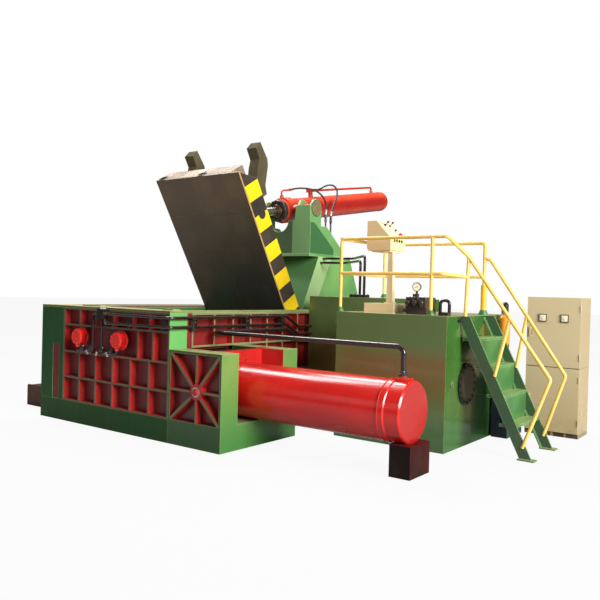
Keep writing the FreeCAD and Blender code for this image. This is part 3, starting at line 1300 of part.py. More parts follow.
def hose_shape(name, points):
    """A hose whose bends are as large as its runs allow; their radii are printed."""
    corners = [datum_point(hose_x(x), hose_y(y), hose_z(z)) for x, y, z in points]
    edges = []
    radii = []
    start = corners[0]
    run_share = 0.45
    for before, corner, after in zip(corners, corners[1:], corners[2:]):
        half = (before - corner).getAngle(after - corner) / 2
        setback = run_share * min((before - corner).Length, (after - corner).Length)
        radii.append(setback * math.tan(half))
        first, middle, last = corner_arc(before, corner, after, radii[-1])
        edges.append(Part.makeLine(start, first))
        edges.append(Part.Arc(first, middle, last).toShape())
        start = last
    edges.append(Part.makeLine(start, corners[-1]))
    radius = value_of(S["hose"])
    length = Part.Wire(edges).Length
    shape = swept(edges, corners[0], corners[1] - corners[0], radius)
    share = shape.Volume / (math.pi * radius ** 2 * length)
    print("%s length %.0f mm, radii %s, volume share %.3f" % (
        name, length, [round(bend) for bend in radii], share))
    return shape


def hoses():
    """Two hoses that bend as the lid's cylinder swings."""
    pieces = []
    for name, points in (("front hose", HOSE_FRONT), ("rear hose", HOSE_REAR)):
        hose = doc.addObject("Part::Feature", "hose")
        hose.Shape = hose_shape(name, points)
        pieces.append(hose)
    node("barrel_hoses", grouped(pieces))


def hydraulics():
    node("hydraulic_pipes", grouped(
        lock_pipes() + wall_pipes() + tower_pipes() + ram_pipes() + deck_pipes() + pipe_clamps()))
    hoses()


def barrel_point(x, along, out):
    """A place on the lid cylinder: along its axis from the trunnions, and out from its axis."""
    lean = math.radians(chord_angle.value)
    y = trunnion_y.value + along * math.cos(lean) - out * math.sin(lean)
    z = trunnion_z.value + along * math.sin(lean) + out * math.cos(lean)
    return (x, y, z)


def barrel_pipes():
    """Rigid pipes on the lid cylinder: one over its front port, one from the middle to the rear."""
    x = chamber_mid.value
    skin = S["lid_barrel"].value
    size = {name: number.value for name, number in S.items()}
    root = skin - size["boss_root"]
    front_at = -size["front_pipe_at"]
    front_low = skin + size["front_pipe_root"]
    front = tube([barrel_point(x, front_at, front_low),
                  barrel_point(x, front_at, skin + size["front_pipe_rise"]),
                  barrel_point(x, size["front_pipe_end"], skin + size["front_pipe_top"])],
                 S["thin_pipe"], 45)
    rear_x = x - size["rear_pipe_side"]
    rear_at = size["rear_pipe_end"]
    rear_low = skin + size["rear_pipe_root"]
    rear = tube([barrel_point(rear_x, size["rear_pipe_start"], skin + size["rear_pipe_high"]),
                 barrel_point(rear_x, rear_at, skin + size["rear_pipe_low"]),
                 barrel_point(rear_x, rear_at, rear_low)], S["pipe"], 45)
    post_at = size["pipe_post_at"]
    post = tube([barrel_point(x, post_at, root),
                 barrel_point(x, post_at, skin + size["pipe_post_top"])], S["pipe_post"])
    yoke = block(0, 0, 0, S["yoke_width"], S["yoke_length"], S["yoke_height"])
    yoke_corner = barrel_point(x - size["yoke_width"] / 2, size["yoke_at"],
                               skin + size["yoke_low"])
    place(yoke, *yoke_corner, (1, 0, 0), chord_angle)
    bosses = [tube([barrel_point(at_x, along, root), barrel_point(at_x, along, top)],
                   S["pipe_boss"])
              for at_x, along, top in ((x, front_at, front_low), (rear_x, rear_at, rear_low))]
    node("barrel_pipes", fused([front, rear, post, yoke] + bosses))


# ---------------------------------------------------------------- table, tanks and drives


def discharge_table():
    """Low table at the outlet that bales slide onto."""
    length = S["table_length"]
    left = -length
    near = S["table_near"]
    depth = S["table_depth"]
    web = S["table_web"]
    top = lane_floor - S["table_plate"]
    webs = [block(left, near + inset, 0, length, web, top) for inset in (0, depth - web)]
    ends = [block(left + at, near, 0, web, depth, top) for at in (0, length - web)]
    plate = block(left, near, top, length, depth, S["table_plate"])
    node("discharge_table", fused([plate] + webs + ends))


def platform_tank():
    """Oil tank that carries the desk and valves; its far left corner is cut away for the rear tank."""
    far = tank_y + S["tank_depth"]
    step_x = rear_tank_x + S["rear_tank_length"] + S["tank_gap"]
    step_y = rear_tank_y - S["tank_gap"]
    node("platform_tank", plate_z(0, S["tank_height"], [
        (tank_x, tank_y), (tank_right, tank_y), (tank_right, far), (step_x, far),
        (step_x, step_y), (tank_x, step_y)]))


def rear_tank():
    """The smaller, higher tank behind the box, with its lifting eye."""
    top = S["rear_tank_height"]
    tank = block(rear_tank_x, rear_tank_y, 0, S["rear_tank_length"], S["rear_tank_depth"], top)
    x = tank_x + S["eye_left"]
    foot = S["eye_foot"]
    head = S["eye_head"]
    eye = plate_y(rear_tank_y + S["eye_back"], S["eye_thick"], [
        (x - foot, top), (x + foot, top), (x + head, top + S["eye_height"]),
        (x - head, top + S["eye_height"])], [(x, top + S["eye_hole_z"], S["eye_hole"])])
    node("rear_tank", fused([tank, eye]))


def manhole_cover():
    """Round cover on the tank's end with a circle of bolts."""
    y = tank_y + S["manhole_y"]
    z = S["manhole_z"]
    thick = S["manhole_thick"]
    cover = drum("x", tank_right, y, z, S["manhole_radius"], thick)
    count = DIMENSIONS["manhole_bolts"]
    bolts = []
    for index in range(count):
        angle = Size(360.0 * index, "360 * %d" % index) / S["manhole_bolts"]
        bolts.append(drum("x", tank_right + thick, y + S["manhole_circle"] * cosine(angle),
                          z + S["manhole_circle"] * sine(angle), S["bolt_radius"],
                          S["bolt_head"]))
    node("manhole_cover", grouped([cover] + bolts))


def gas_bottle():
    """Gas bottle on two arms on the tank's end."""
    y = tank_y + S["bottle_y"]
    low = S["bottle_low"]
    top = S["bottle_high"] - low
    radius = S["bottle"]
    neck = S["bottle_neck"]
    bottle = turned(tank_right + S["bottle_out"], y, low, [
        (0, 0), (radius - S["bottle_foot"], 0), (radius, S["bottle_round"]),
        (radius, top - S["bottle_round"]), (radius - S["bottle_shoulder"], top), (neck, top),
        (neck, top + S["bottle_cap"]), (S["bottle_tip"], top + S["bottle_tip_top"]),
        (0, top + S["bottle_tip_top"])])
    width = S["bottle_arm_width"]
    reach = S["bottle_out"] - radius + S["bottle_arm_grip"]
    arms = [block(tank_right, y - width / 2, low + rise, reach, width, S["bottle_arm_height"])
            for rise in (S["bottle_arm_low"], S["bottle_arm_high"])]
    node("gas_bottle", fused([bottle] + arms))


def pump_motor():
    """The motor with its pump and terminal box on a plinth."""
    radius = S["motor"]
    length = S["motor_length"]
    x = tank_right + S["motor_x"]
    y = tank_y + S["motor_y"]
    z = S["motor_z"]
    motor = turned(x, y, z, [
        (0, 0), (radius - S["motor_cap"], 0), (radius, S["motor_cap_length"]), (radius, length),
        (S["pump"], length), (S["pump"], length + S["pump_length"]),
        (0, length + S["pump_length"])], "y")
    width = S["terminal_width"]
    terminals = block(x - width / 2, y + S["terminal_at"], z + radius - S["terminal_root"], width,
                      S["terminal_length"], S["terminal_height"])
    top = z - radius - S["motor_drop"]
    width = S["motor_foot_width"]
    feet = block(x - width / 2, y + S["motor_foot_near"], top, width,
                 length - S["motor_foot_short"], S["motor_foot_height"])
    width = S["stand_width"]
    plinth = block(x - width / 2, y + S["stand_near"], 0, width, length + S["stand_over"], top)
    node("pump_motor", grouped([fused([motor, terminals, feet]), plinth]))


# ---------------------------------------------------------------- rails and stairs

deck = S["tank_height"]
stair_slope = S["stair_run"] / S["tank_height"]
rail_x = tank_x + S["rail_left"]
near_rail_y = tank_y + S["rail_near"]
far_rail_y = tank_y + S["rail_far"]
near_stair_y = tank_y + S["stair_near"]
far_stair_y = tank_y + S["stair_far"]


def stair_edge(z):
    """Place in X of the stair's outer edge at a height."""
    return tank_right + S["stringer_width"] + (deck - z) * stair_slope


def straight_rail(start, end):
    return welded_tube([start, end], S["rail_radius"], S["rail_bend"])[0]


def stair_bar(start, end, top, low):
    """Low bar on a stringer, which ends just short of the middle of the sloped rail above it."""
    part_way = (start[2] - top) / (start[2] - end[2])
    x = start[0] + (end[0] - start[0]) * part_way - S["bar_short"]
    return straight_rail((x, start[1], top), (stair_edge(low) - S["bar_in"], start[1], low))


def near_rail():
    """Handrail along the deck's near edge, which runs on down the near side of the stairs."""
    y = near_rail_y
    stair = near_stair_y
    top = S["rail_top"]
    mid = S["rail_mid"]
    slope_top = (tank_right + S["hand_start"], stair, S["hand_start_z"])
    knee = (tank_right + S["hand_knee"], stair, S["hand_knee_z"])
    foot_z = S["hand_foot_z"]
    handrail = welded_tube([
        (rail_x, y, deck), (rail_x, y, top), (tank_right - S["hand_turn"], y, top),
        slope_top, knee,
        (stair_edge(foot_z) - S["hand_foot_in"], stair, foot_z)], S["rail_radius"], S["rail_bend"])
    bar = welded_tube([
        (rail_x, y, mid), (tank_right - S["mid_turn"], y, mid),
        (tank_right + S["mid_reach"], stair, mid - S["mid_drop"])], S["rail_radius"],
        S["rail_bend"])
    bar[0] = cut(bar[0], [handrail[0]])
    post_x = tank_right - S["rail_post"]
    post = cut(straight_rail((post_x, y, deck), (post_x, y, top)), [handrail[2], bar[0]])
    newel = cut(straight_rail((tank_right + S["newel"], stair, deck), slope_top),
                handrail[3:7] + [bar[-1]])
    low_bar = cut(stair_bar(slope_top, knee, S["near_bar_top"], S["near_bar_low"]), [handrail[6]])
    node("near_rail", grouped(handrail + bar + [post, newel, low_bar]))


def far_rail():
    """Handrail along the left and far edges, which runs on down the far side of the stairs."""
    y = far_rail_y
    top = S["rail_top"]
    mid = S["rail_mid"]
    corner_x = tank_right - S["rail_corner"]
    handrail = welded_tube([
        (corner_x, y, deck), (corner_x, y, top), (rail_x, y, top), (rail_x, near_rail_y, top)],
        S["rail_radius"], S["corner_bend"])
    sleeve = tube([(corner_x, y, deck), (corner_x, y, S["sleeve_top"])], S["sleeve"])
    handrail[0] = fused([handrail[0], sleeve])
    bar = welded_tube([(corner_x, y, mid), (rail_x, y, mid), (rail_x, near_rail_y, mid)],
                      S["rail_radius"], S["corner_bend"])
    bar[0] = cut(bar[0], [handrail[0]])
    post = cut(straight_rail((rail_x, y, S["rear_tank_height"]), (rail_x, y, top)),
               handrail[2:5] + bar)
    foot_z = S["far_hand_foot_z"]
    slope_top = (tank_right + S["far_hand_start"], y, S["far_hand_start_z"])
    knee = (tank_right + S["far_hand_knee"], y, S["far_hand_knee_z"])
    stair_rail = welded_tube([
        (corner_x, y, S["far_hand_post_z"]), slope_top, knee,
        (stair_edge(foot_z) - S["hand_foot_in"], y, foot_z)], S["rail_radius"], S["rail_bend"])
    stair_rail[0] = cut(stair_rail[0], [handrail[0]])
    low_bar = cut(stair_bar(slope_top, knee, S["far_bar_top"], S["far_bar_low"]), [stair_rail[2]])
    node("far_rail", grouped(handrail + bar + [post] + stair_rail + [low_bar]))


def stairs():
    """Steep stair: two stringers with foot plates, and open treads between them."""
    thick = S["stringer_thick"]
    width = S["stringer_width"]
    inner_foot = stair_edge(0) - width
    step = deck - S["stringer_cut"]
    outline = [(tank_right, deck), (tank_right + width, deck), (stair_edge(0), 0),
               (inner_foot, 0), (tank_right, step)]
    lip = [(tank_right, step), (tank_right, deck - S["lip_top"]),
           (inner_foot - S["lip_thick"], 0), (inner_foot, 0)]
    foot_width = S["foot_width"]
    pieces = []
    for y, lip_y in ((near_stair_y, near_stair_y - thick / 2),
                     (far_stair_y, far_stair_y + thick / 2 - S["lip_width"])):
        pieces.append(plate_y(y - thick / 2, thick, outline))
        pieces.append(plate_y(lip_y, S["lip_width"], lip))
        pieces.append(block(inner_foot - S["foot_behind"], y - foot_width / 2, 0,
                            S["foot_behind"] + width + S["foot_ahead"],
                            foot_width, S["foot_plate"]))
    for index in range(DIMENSIONS["treads"]):
        z = S["tread_first"] - S["tread_rise"] * index
        pieces.append(block(stair_edge(z) - S["tread_depth"], near_stair_y, z - S["tread_thick"],
                            S["tread_depth"], far_stair_y - near_stair_y, S["tread_thick"]))
    node("stairs", fused(pieces))


# ---------------------------------------------------------------- control desk

desk_x = tank_x + S["desk_left"]
desk_y = tank_y + S["desk_near"]
panel_low_x = desk_x + S["desk_length"]
panel_low_z = S["desk_high"] - S["panel_length"] * sine(S["panel_angle"])
button_z = (S["desk_low"] + panel_low_z) / 2 + S["button_rise"]
lever_along = S["panel_length"] - S["lever_down"]
knob_y = desk_y + S["desk_width"] - S["stop_far"]


def panel_point(along, above):
    """Place in X and Z on the sloped panel: up it from its low edge, and out from its face."""
    x = panel_low_x - cosine(S["panel_angle"]) * along + sine(S["panel_angle"]) * above
    z = panel_low_z + sine(S["panel_angle"]) * along + cosine(S["panel_angle"]) * above
    return x, z


def panel_slot(y, width, along, half, depth):
    """A tool for a slot in the sloped panel."""
    corners = [panel_point(along - half, -depth), panel_point(along + half, -depth),
               panel_point(along + half, PAST), panel_point(along - half, PAST)]
    return plate_y(y, width, corners)


def on_panel(along, root, y, profile):
    """A turned piece that stands square to the sloped panel."""
    x, z = panel_point(along, root)
    return turned(x, y, z, profile, axis=(0, 1, 0), turn=S["panel_angle"])


def button_places():
    return [desk_y + S["desk_width"] / 2 + S["button_pitch"] * (index - 1.5) for index in range(4)]


def lever_places():
    return [desk_y + S["lever_first"] + S["lever_pitch"] * index for index in range(2)]


def desk_head():
    """The desk's box with its sloped panel, bored for four buttons, two levers and a knob."""
    top_x, top_z = panel_point(S["panel_length"], 0)
    head = plate_y(desk_y, S["desk_width"], [
        (desk_x + S["desk_corner"], S["desk_low"]), (panel_low_x, S["desk_low"]),
        (panel_low_x, panel_low_z), (top_x, top_z), (desk_x, top_z),
        (desk_x, S["desk_low"] + S["desk_corner_high"])])
    depth = S["button_depth"]
    tools = [drum("x", panel_low_x - depth, y, button_z, S["button"] + S["button_gap"],
                  depth + PAST) for y in button_places()]
    slot = S["lever_width"] + S["button_gap"] * 2
    tools += [panel_slot(y - slot / 2, slot, lever_along, S["lever_slot"], S["lever_slot_depth"])
              for y in lever_places()]
    hole = S["stop_stem"] + S["button_gap"]
    tools.append(on_panel(S["stop_along"], -S["stop_root"], knob_y, [
        (0, 0), (hole, 0), (hole, S["stop_hole"]), (0, S["stop_hole"])]))
    node("desk_head", cut(head, tools))


def desk_controls():
    """Four push buttons, two levers and the stop knob."""
    seat = S["button_seat"]
    start = panel_low_x - S["button_depth"] + seat
    length = S["button_depth"] - seat + S["button_proud"]
    for index, y in enumerate(button_places()):
        node("desk_button_%d" % (index + 1), drum("x", start, y, button_z, S["button"], length))
    pivot_x, pivot_z = panel_point(lever_along, 0)
    width = S["lever_width"]
    length = S["lever_length"]
    grip = S["lever_grip"]
    round_end = S["lever_stalk"]
    for label, y in zip(("lever_left", "lever_right"), lever_places()):
        disc = drum("y", pivot_x, y - width / 2, pivot_z, S["lever_disc"], width)
        grip_low = length - S["lever_grip_low"]
        stalk = on_panel(lever_along, 0, y, [
            (0, 0), (S["lever_stalk"], 0), (S["lever_stalk"], grip_low),
            (grip, grip_low + S["lever_stalk"]), (grip, length - round_end),
            (grip - round_end, length), (0, length)])
        node("desk_" + label, fused([disc, stalk]))
    stem = S["stop_stem"]
    knob = S["stop_knob"]
    node("stop_knob", on_panel(S["stop_along"], -S["stop_root"], knob_y, [
        (0, S["stop_low"]), (stem, S["stop_low"]), (stem, S["stop_neck"]),
        (knob - S["stop_edge"], S["stop_neck"]), (knob, S["stop_rim"]),
        (knob, S["stop_shoulder"]), (knob - S["stop_round"], S["stop_top"]),
        (0, S["stop_top"])]))


def desk_stand():
    """Base, tapered post and the tray under the desk."""
    base = block(desk_x - S["desk_base_out"], desk_y, deck, S["desk_base_length"],
                 S["desk_base_width"], S["desk_base"])
    x = desk_x + S["post_x"]
    low = S["post_low"]
    high = S["post_high"]
    foot = deck + S["desk_base"]
    top = S["desk_low"] - S["tray_thick"]
    post = plate_y(desk_y + S["post_y"] - high, high * 2, [
        (x - low, foot), (x + low, foot), (x + high, top), (x - high, top)])
    tray = block(desk_x + S["tray_left"], desk_y + S["tray_near"], top, S["tray_length"],
                 S["desk_width"] - S["tray_near"] * 2, S["tray_thick"])
    node("desk_stand", fused([base, post, tray]))


def valves():
    """Manifold on the deck with its valves and gauge."""
    x = tank_x + S["manifold_left"]
    y = tank_y + S["manifold_near"]
    z = deck + S["manifold_height"]
    width = S["manifold_width"]
    over = S["valve_over"]
    plate = block(x, y, deck, S["manifold_length"], width, S["manifold_height"])
    bodies = [block(x + S["valve_first"] + S["valve_pitch"] * index, y - over, z,
                    S["valve_length"], width + over * 2,
                    S["valve_height"] - S["valve_step"] * (index % 2)) for index in range(3)]
    stem_x = x + S["gauge_x"]
    stem_y = y + S["gauge_y"]
    stem = drum("z", stem_x, stem_y, z, S["gauge_stem"], S["gauge_z"] - z)
    radius = S["gauge_radius"]
    back = -S["gauge_back"]
    front = S["gauge_front"]
    rim = S["gauge_rim"]
    turn = math.radians(S["gauge_turn"].value)
    gauge = turned(stem_x, stem_y, S["gauge_z"], [
        (0, back), (radius, back), (radius, front), (radius - rim, front),
        (radius - rim, front - rim), (0, front - rim)],
        axis=(math.cos(turn), math.sin(turn), 0), turn=90.0)
    node("valve_bank", fused([plate, stem, gauge] + bodies))


# ---------------------------------------------------------------- switch cabinet


def cabinet():
    """Sheet-metal casing with two doors on its right-hand edge."""
    x = tank_right + S["cabinet_left"]
    y = tank_y + S["cabinet_front"]
    width = S["cabinet_width"]
    depth = S["cabinet_depth"]
    height = S["cabinet_height"]
    sheet = S["sheet"]
    shell = block(x, y, 0, width, depth, height)
    inside = block(x + sheet, y - PAST, S["plinth"] + sheet, width - sheet * 2,
                   depth + PAST - sheet, height - S["plinth"] - sheet * 2)
    shelf = block(x + sheet, y, S["door_split"] - sheet / 2, width - sheet * 2, depth - sheet,
                  sheet)
    node("cabinet_case", fused([cut(shell, [inside]), shelf]))
    gap = S["door_gap"]
    back_y = y - S["door_off"]
    front_y = back_y - S["door_thick"]
    doors = (("cabinet_lower_door", S["plinth"] + gap, S["door_split"] - gap),
             ("cabinet_upper_door", S["door_split"] + gap, height - gap))
    for label, low, high in doors:
        leaf = block(x + gap, front_y, low, width - gap * 2, S["door_thick"], high - low)
        handle = block(x + S["handle_x"], front_y - S["handle_depth"],
                       (low + high) / 2 - S["handle_height"] / 2, S["handle_width"],
                       S["handle_depth"], S["handle_height"])
        knuckles = [drum("z", x + width - gap, front_y, z, S["door_pin"], S["door_pin_length"])
                    for z in (low + S["door_pin_low"], high - S["door_pin_high"])]
        node(label, fused([leaf, handle] + knuckles))


def check_and_write():
    """Stops on a failed object or a bad shape, then writes one file for each sub-part."""
    doc.recompute()
    for thing in doc.Objects:
        if "Invalid" in thing.State or "Error" in thing.State:
            raise RuntimeError("%s (%s) failed: %s" % (thing.Name, thing.Label, thing.State))
    for thing in sub_parts:
        shape = thing.Shape
        if shape.isNull() or not shape.isValid() or not shape.Solids:
            raise RuntimeError("%s has no valid shape" % thing.Label)
    os.makedirs("parts", exist_ok=True)
    for thing in sub_parts:
        thing.Shape.exportStep("parts/%s.step" % thing.Label)
        print("%-24s solids %d  volume %.4f m3" % (
            thing.Label, len(thing.Shape.Solids), thing.Shape.Volume / 1e9))
    print("sub-parts:", len(sub_parts))


base_frame()
box_walls()
near_ribs()
side_ribs()
gate_housing()
gate()
side_housing()
housing_panel()
side_cylinder()
side_ram()
main_ram_set()
cylinder_feet()
lid()
lid_fittings()
hinge()
lid_cylinder()
tower_stand()
trunnion_frame()
lid_locks()
hydraulics()
barrel_pipes()
discharge_table()
platform_tank()
rear_tank()
manhole_cover()
gas_bottle()
pump_motor()
near_rail()
far_rail()
stairs()
desk_head()
desk_controls()
desk_stand()
valves()
cabinet()
check_and_write()
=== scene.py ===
import math

import bmesh
import bpy
from mathutils import Matrix, Vector


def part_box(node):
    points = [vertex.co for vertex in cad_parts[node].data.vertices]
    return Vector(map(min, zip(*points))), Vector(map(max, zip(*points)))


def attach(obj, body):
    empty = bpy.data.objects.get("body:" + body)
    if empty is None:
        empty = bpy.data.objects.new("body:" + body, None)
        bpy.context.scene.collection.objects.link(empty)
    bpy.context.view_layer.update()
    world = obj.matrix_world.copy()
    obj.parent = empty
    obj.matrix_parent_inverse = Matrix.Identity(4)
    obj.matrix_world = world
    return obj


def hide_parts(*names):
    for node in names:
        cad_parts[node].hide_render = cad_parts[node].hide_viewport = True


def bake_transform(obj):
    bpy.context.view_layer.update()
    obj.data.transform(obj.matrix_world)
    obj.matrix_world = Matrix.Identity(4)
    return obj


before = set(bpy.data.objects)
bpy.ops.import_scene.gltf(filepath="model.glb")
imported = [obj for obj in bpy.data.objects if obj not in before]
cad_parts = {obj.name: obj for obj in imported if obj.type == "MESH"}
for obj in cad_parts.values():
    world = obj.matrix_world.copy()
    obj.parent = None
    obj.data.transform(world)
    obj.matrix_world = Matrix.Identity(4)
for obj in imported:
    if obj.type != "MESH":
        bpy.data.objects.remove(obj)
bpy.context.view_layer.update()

# Places come from the model's layout: millimetres from the near-left corner of the pressing box on the
# floor. The part's own origin lies under the middle of that box.
HALF_BOX = Vector((1.2565, 1.475, 0.0))


def spot(x, y, z):
    """A layout place in millimetres, as a point of the part's frame in metres."""
    return Vector((x, y, z)) / 1000.0 - HALF_BOX


RIGHT = Vector((1.0, 0.0, 0.0))
FAR = Vector((0.0, 1.0, 0.0))
UP = Vector((0.0, 0.0, 1.0))
NEAR = Vector((0.0, -1.0, 0.0))

# The lid, as it stands open in the photo: distances run along it from its hinge, and depths across its
# thickness from its middle. Its end is slanted, and a square beam closes the slant.
LID_HINGE = spot(1555.0, 2828.0, 1396.0)
LID_OPEN = math.radians(59.53)
LID_AXIS = Vector((0.0, -math.cos(LID_OPEN), math.sin(LID_OPEN)))
LID_UP = Vector((0.0, math.sin(LID_OPEN), math.cos(LID_OPEN)))
LID_REACH = 2.446
LID_SLANT = 2.2175
LID_LEAN = 0.6604
BEAM_LEFT = 766.0
BEAM_RIGHT = 2180.0
BEAM_LOW = -0.346
BEAM_HIGH = -0.036
BEAM_LAP = 0.004
LOCKS = (850.0, 1630.0)
LOCK_DEEP = -0.271
PIN_HOLE = 0.053

# The lid's cylinder swings about its trunnion.
TRUNNION = Vector((0.2985, 1.859833, 3.093971))
BARREL_LEAN = math.radians(9.585)
BARREL_AXIS = Vector((0.0, math.cos(BARREL_LEAN), math.sin(BARREL_LEAN)))

HUB = spot(2956.0, 0.0, 632.5)
COVER_MIDDLE = spot(5150.0, 2305.0, 740.0)


# ---------------------------------------------------------------- shader maths


def maths(operation, reflected=False):
    """An operator of Socket that adds one Math node."""
    def apply(self, other):
        first, second = (other, self) if reflected else (self, other)
        return self.nodes.node("ShaderNodeMath", {"operation": operation}, {0: first, 1: second})
    return apply


class Socket:
    """A node's output; arithmetic on it adds Math nodes to its tree."""

    def __init__(self, nodes, link):
        self.nodes = nodes
        self.link = link

    __add__ = maths("ADD")
    __radd__ = maths("ADD", reflected=True)
    __sub__ = maths("SUBTRACT")
    __rsub__ = maths("SUBTRACT", reflected=True)
    __mul__ = maths("MULTIPLY")
    __rmul__ = maths("MULTIPLY", reflected=True)
    __mod__ = maths("FLOORED_MODULO")
    __gt__ = maths("GREATER_THAN")
    __lt__ = maths("LESS_THAN")


class Nodes:
    """A node tree, with one method that adds any node to it."""

    def __init__(self, tree):
        self.tree = tree

    def node(self, kind, settings=None, inputs=None, output=0):
        """Adds a node: its settings first, then the values or links of its sockets."""
        made = self.tree.nodes.new(kind)
        for name, value in (settings or {}).items():
            setattr(made, name, value)
        for key, value in (inputs or {}).items():
            self.feed(made.inputs[key], value)
        return Socket(self, made.outputs[output])

    def feed(self, socket, value):
        """Links a socket to another node's output, or gives it a constant."""
        if isinstance(value, Socket):
            self.tree.links.new(value.link, socket)
        else:
            socket.default_value = value


class Finish(Nodes):
    """A paint, metal or rubber, built as one material."""

    def __init__(self, name):
        self.material = bpy.data.materials.new(name)
        self.material.use_nodes = True
        super().__init__(self.material.node_tree)
        self.shader = self.tree.nodes["Principled BSDF"]
        self.where = self.node("ShaderNodeTexCoord", output="Object")
        axes = self.node("ShaderNodeSeparateXYZ", inputs={"Vector": self.where})
        self.x, self.y, self.z = [Socket(self, out) for out in axes.link.node.outputs]

    def mix(self, share, first, second):
        """A colour between two colours."""
        return self.node("ShaderNodeMix", {"data_type": "RGBA"}, {0: share, 6: first, 7: second}, 2)

    def span(self, value, low, high, out_low=0.0, out_high=1.0):
        """A value moved from one range to another, and held inside it."""
        return self.node("ShaderNodeMapRange", {"clamp": True}, {
            "Value": value, "From Min": low, "From Max": high, "To Min": out_low, "To Max": out_high})

    def blotches(self, cloud, first, second, low=0.35, high=0.68):
        """One colour that turns into another where a noise is high."""
        return self.mix(self.span(cloud, low, high), first, second)

    def mapped(self, stretch):
        """Object coordinates, scaled along each axis."""
        return self.node("ShaderNodeMapping", inputs={"Vector": self.where, "Scale": stretch})

    def noise(self, scale, detail=3.0, stretch=(1.0, 1.0, 1.0), roughness=0.55):
        """Cloudy noise, with a scale in lumps to the metre."""
        return self.node("ShaderNodeTexNoise", inputs={
            "Vector": self.mapped(stretch), "Scale": scale, "Detail": detail, "Roughness": roughness})

    def cells(self, scale, stretch=(1.0, 1.0, 1.0)):
        """Distance from the nearest of many scattered points."""
        return self.node("ShaderNodeTexVoronoi", inputs={"Vector": self.mapped(stretch), "Scale": scale})

    def dot(self, first, second):
        """How far two directions agree, from -1 to 1."""
        return self.node("ShaderNodeVectorMath", {"operation": "DOT_PRODUCT"},
                         {0: first, 1: second}, "Value")

    def facing(self, direction):
        """How far a face looks along a direction, from -1 to 1."""
        return self.dot(self.node("ShaderNodeNewGeometry", output="True Normal"), direction)

    def toward(self, direction, low, high):
        """0 on faces that look elsewhere, rising to 1 on those that look along a direction."""
        return self.span(self.facing(direction), low, high)

    def inside(self, x=(None, None), y=(None, None), z=(None, None)):
        """1 between the limits that are given, and 0 beyond them."""
        axes = ((self.x, x), (self.y, y), (self.z, z))
        tests = [place > low for place, (low, high) in axes if low is not None]
        tests += [place < high for place, (low, high) in axes if high is not None]
        return math.prod(tests[1:], start=tests[0])

    def disc(self, across, high, radius):
        """1 within a radius of a middle, from the distances to it along two axes."""
        return (across * across + high * high) < radius * radius

    def worn(self, colour, bare, width, share):
        """Paint that shows another colour along outer edges."""
        rounded = self.node("ShaderNodeBevel", {"samples": 4}, {"Radius": width})
        normal = self.node("ShaderNodeNewGeometry", output="True Normal")
        edges = self.span(self.dot(rounded, normal), 0.995, 0.80)
        return self.mix(edges * share, colour, bare)

    def sides(self, colour, near, near_share, top, top_share):
        """A set colour on the faces towards the operator as painted light and shade, and pale dust with
        painted light on the level ones.
        """
        colour = self.mix(self.toward(NEAR, 0.75, 0.95) * near_share, colour, near)
        return self.mix(self.toward(UP, 0.8, 0.98) * top_share, colour, top)

    def bump(self, height, distance, strength=0.5):
        """Fine relief on the surface, from a noise."""
        relief = self.node("ShaderNodeBump", inputs={
            "Height": height, "Distance": distance, "Strength": strength})
        self.feed(self.shader.inputs["Normal"], relief)

    def peel(self, marks, scale=160.0, share=0.6, distance=0.0012, strength=0.5):
        """The fine skin of paint, mixed with coarser marks, as bump."""
        self.bump(self.noise(scale, 2.0) * share + marks * (1.0 - share), distance, strength)

    def rough(self, marks, low, high, most=0.75):
        """Roughness that follows a noise."""
        return self.span(marks, 0.3, most, low, high)

    def finish_with(self, colour, roughness, metallic=0.0, coat=0.0, shine=0.5):
        """Feeds the shader: shine, its specular level, is the same all over."""
        self.shader.inputs["Specular IOR Level"].default_value = shine
        for name, value in (("Base Color", colour), ("Roughness", roughness),
                            ("Metallic", metallic), ("Coat Weight", coat)):
            self.feed(self.shader.inputs[name], value)
        return self.material


def rgb(red, green, blue):
    """A colour from 0 to 255 a channel as the screen shows it, made linear."""
    def linear(level):
        level = level / 255.0
        return level / 12.92 if level <= 0.04045 else ((level + 0.055) / 1.055) ** 2.4
    return (linear(red), linear(green), linear(blue), 1.0)


# ---------------------------------------------------------------- finishes

# Stretches that draw a noise out: down painted faces, down ribbed plate, along the cylinders, back and up
# over scraped plate, and round plated bars.
RUNS = (1.0, 1.0, 0.12)
PLATE_RUNS = (1.0, 1.0, 0.10)
STROKES = (0.25, 1.0, 1.0)
SCRAPES = (1.0, 0.15, 0.15)
TURNS = (1.0, 0.3, 0.3)

# The outer faces of the pressing box, less a little so that a mask takes the whole face in.
WALL_RIGHT = HALF_BOX.x - 0.0005
RIBS_RIGHT = HALF_BOX.x - 0.0010
RIBS_NEAR = 0.0015 - HALF_BOX.y

# Fields of paint, as limits along x, y and z in metres.
CORNER_POST = ((WALL_RIGHT, None), (None, -1.200))
FIRST_SIDE_RIB = ((None, None), (None, -1.100), (1.085, None))
RIBBED_PANEL = ((1.286, 2.053), (-1.4745, -1.385), (0.2845, 1.0505))
CROSS_PLATE = ((1.670, 1.745), (-1.310, -0.230), (0.300, None))
CYLINDER_CHEEK = ((1.700, None), (-0.400, -0.150), (0.300, None))
EAR_FRONTS = ((0.040, 0.560), (None, None), (2.390, None))
GUSSETS = ((0.902, None), (None, None), (2.390, None))
EAR_WEB = ((0.700, 0.800),)
FRONT_CORNER = ((0.902, None),)
RAIL_SLEEVE = ((3.810, 3.920), (1.300, None), (None, 1.932))
RAIL_FOOT = ((None, 3.920), (None, None), (1.400, None))
BOTTLE_ARMS = ((None, 3.935),)
DOOR_GAP = ((None, None), (None, None), (0.889, 0.901))

# Heights where a paint changes.
LINER_FOOT = 0.272
BOTTLE_BAND = 1.560
BOTTLE_HEAD = 1.585
PLINTH_TOP = 0.055

# Right-hand limits: of the rim's opening, and of the lid and its plates less a little.
RIM_OPENING = 1.060
LID_SIDE = 1.0915
PLATE_SIDE = 1.0905

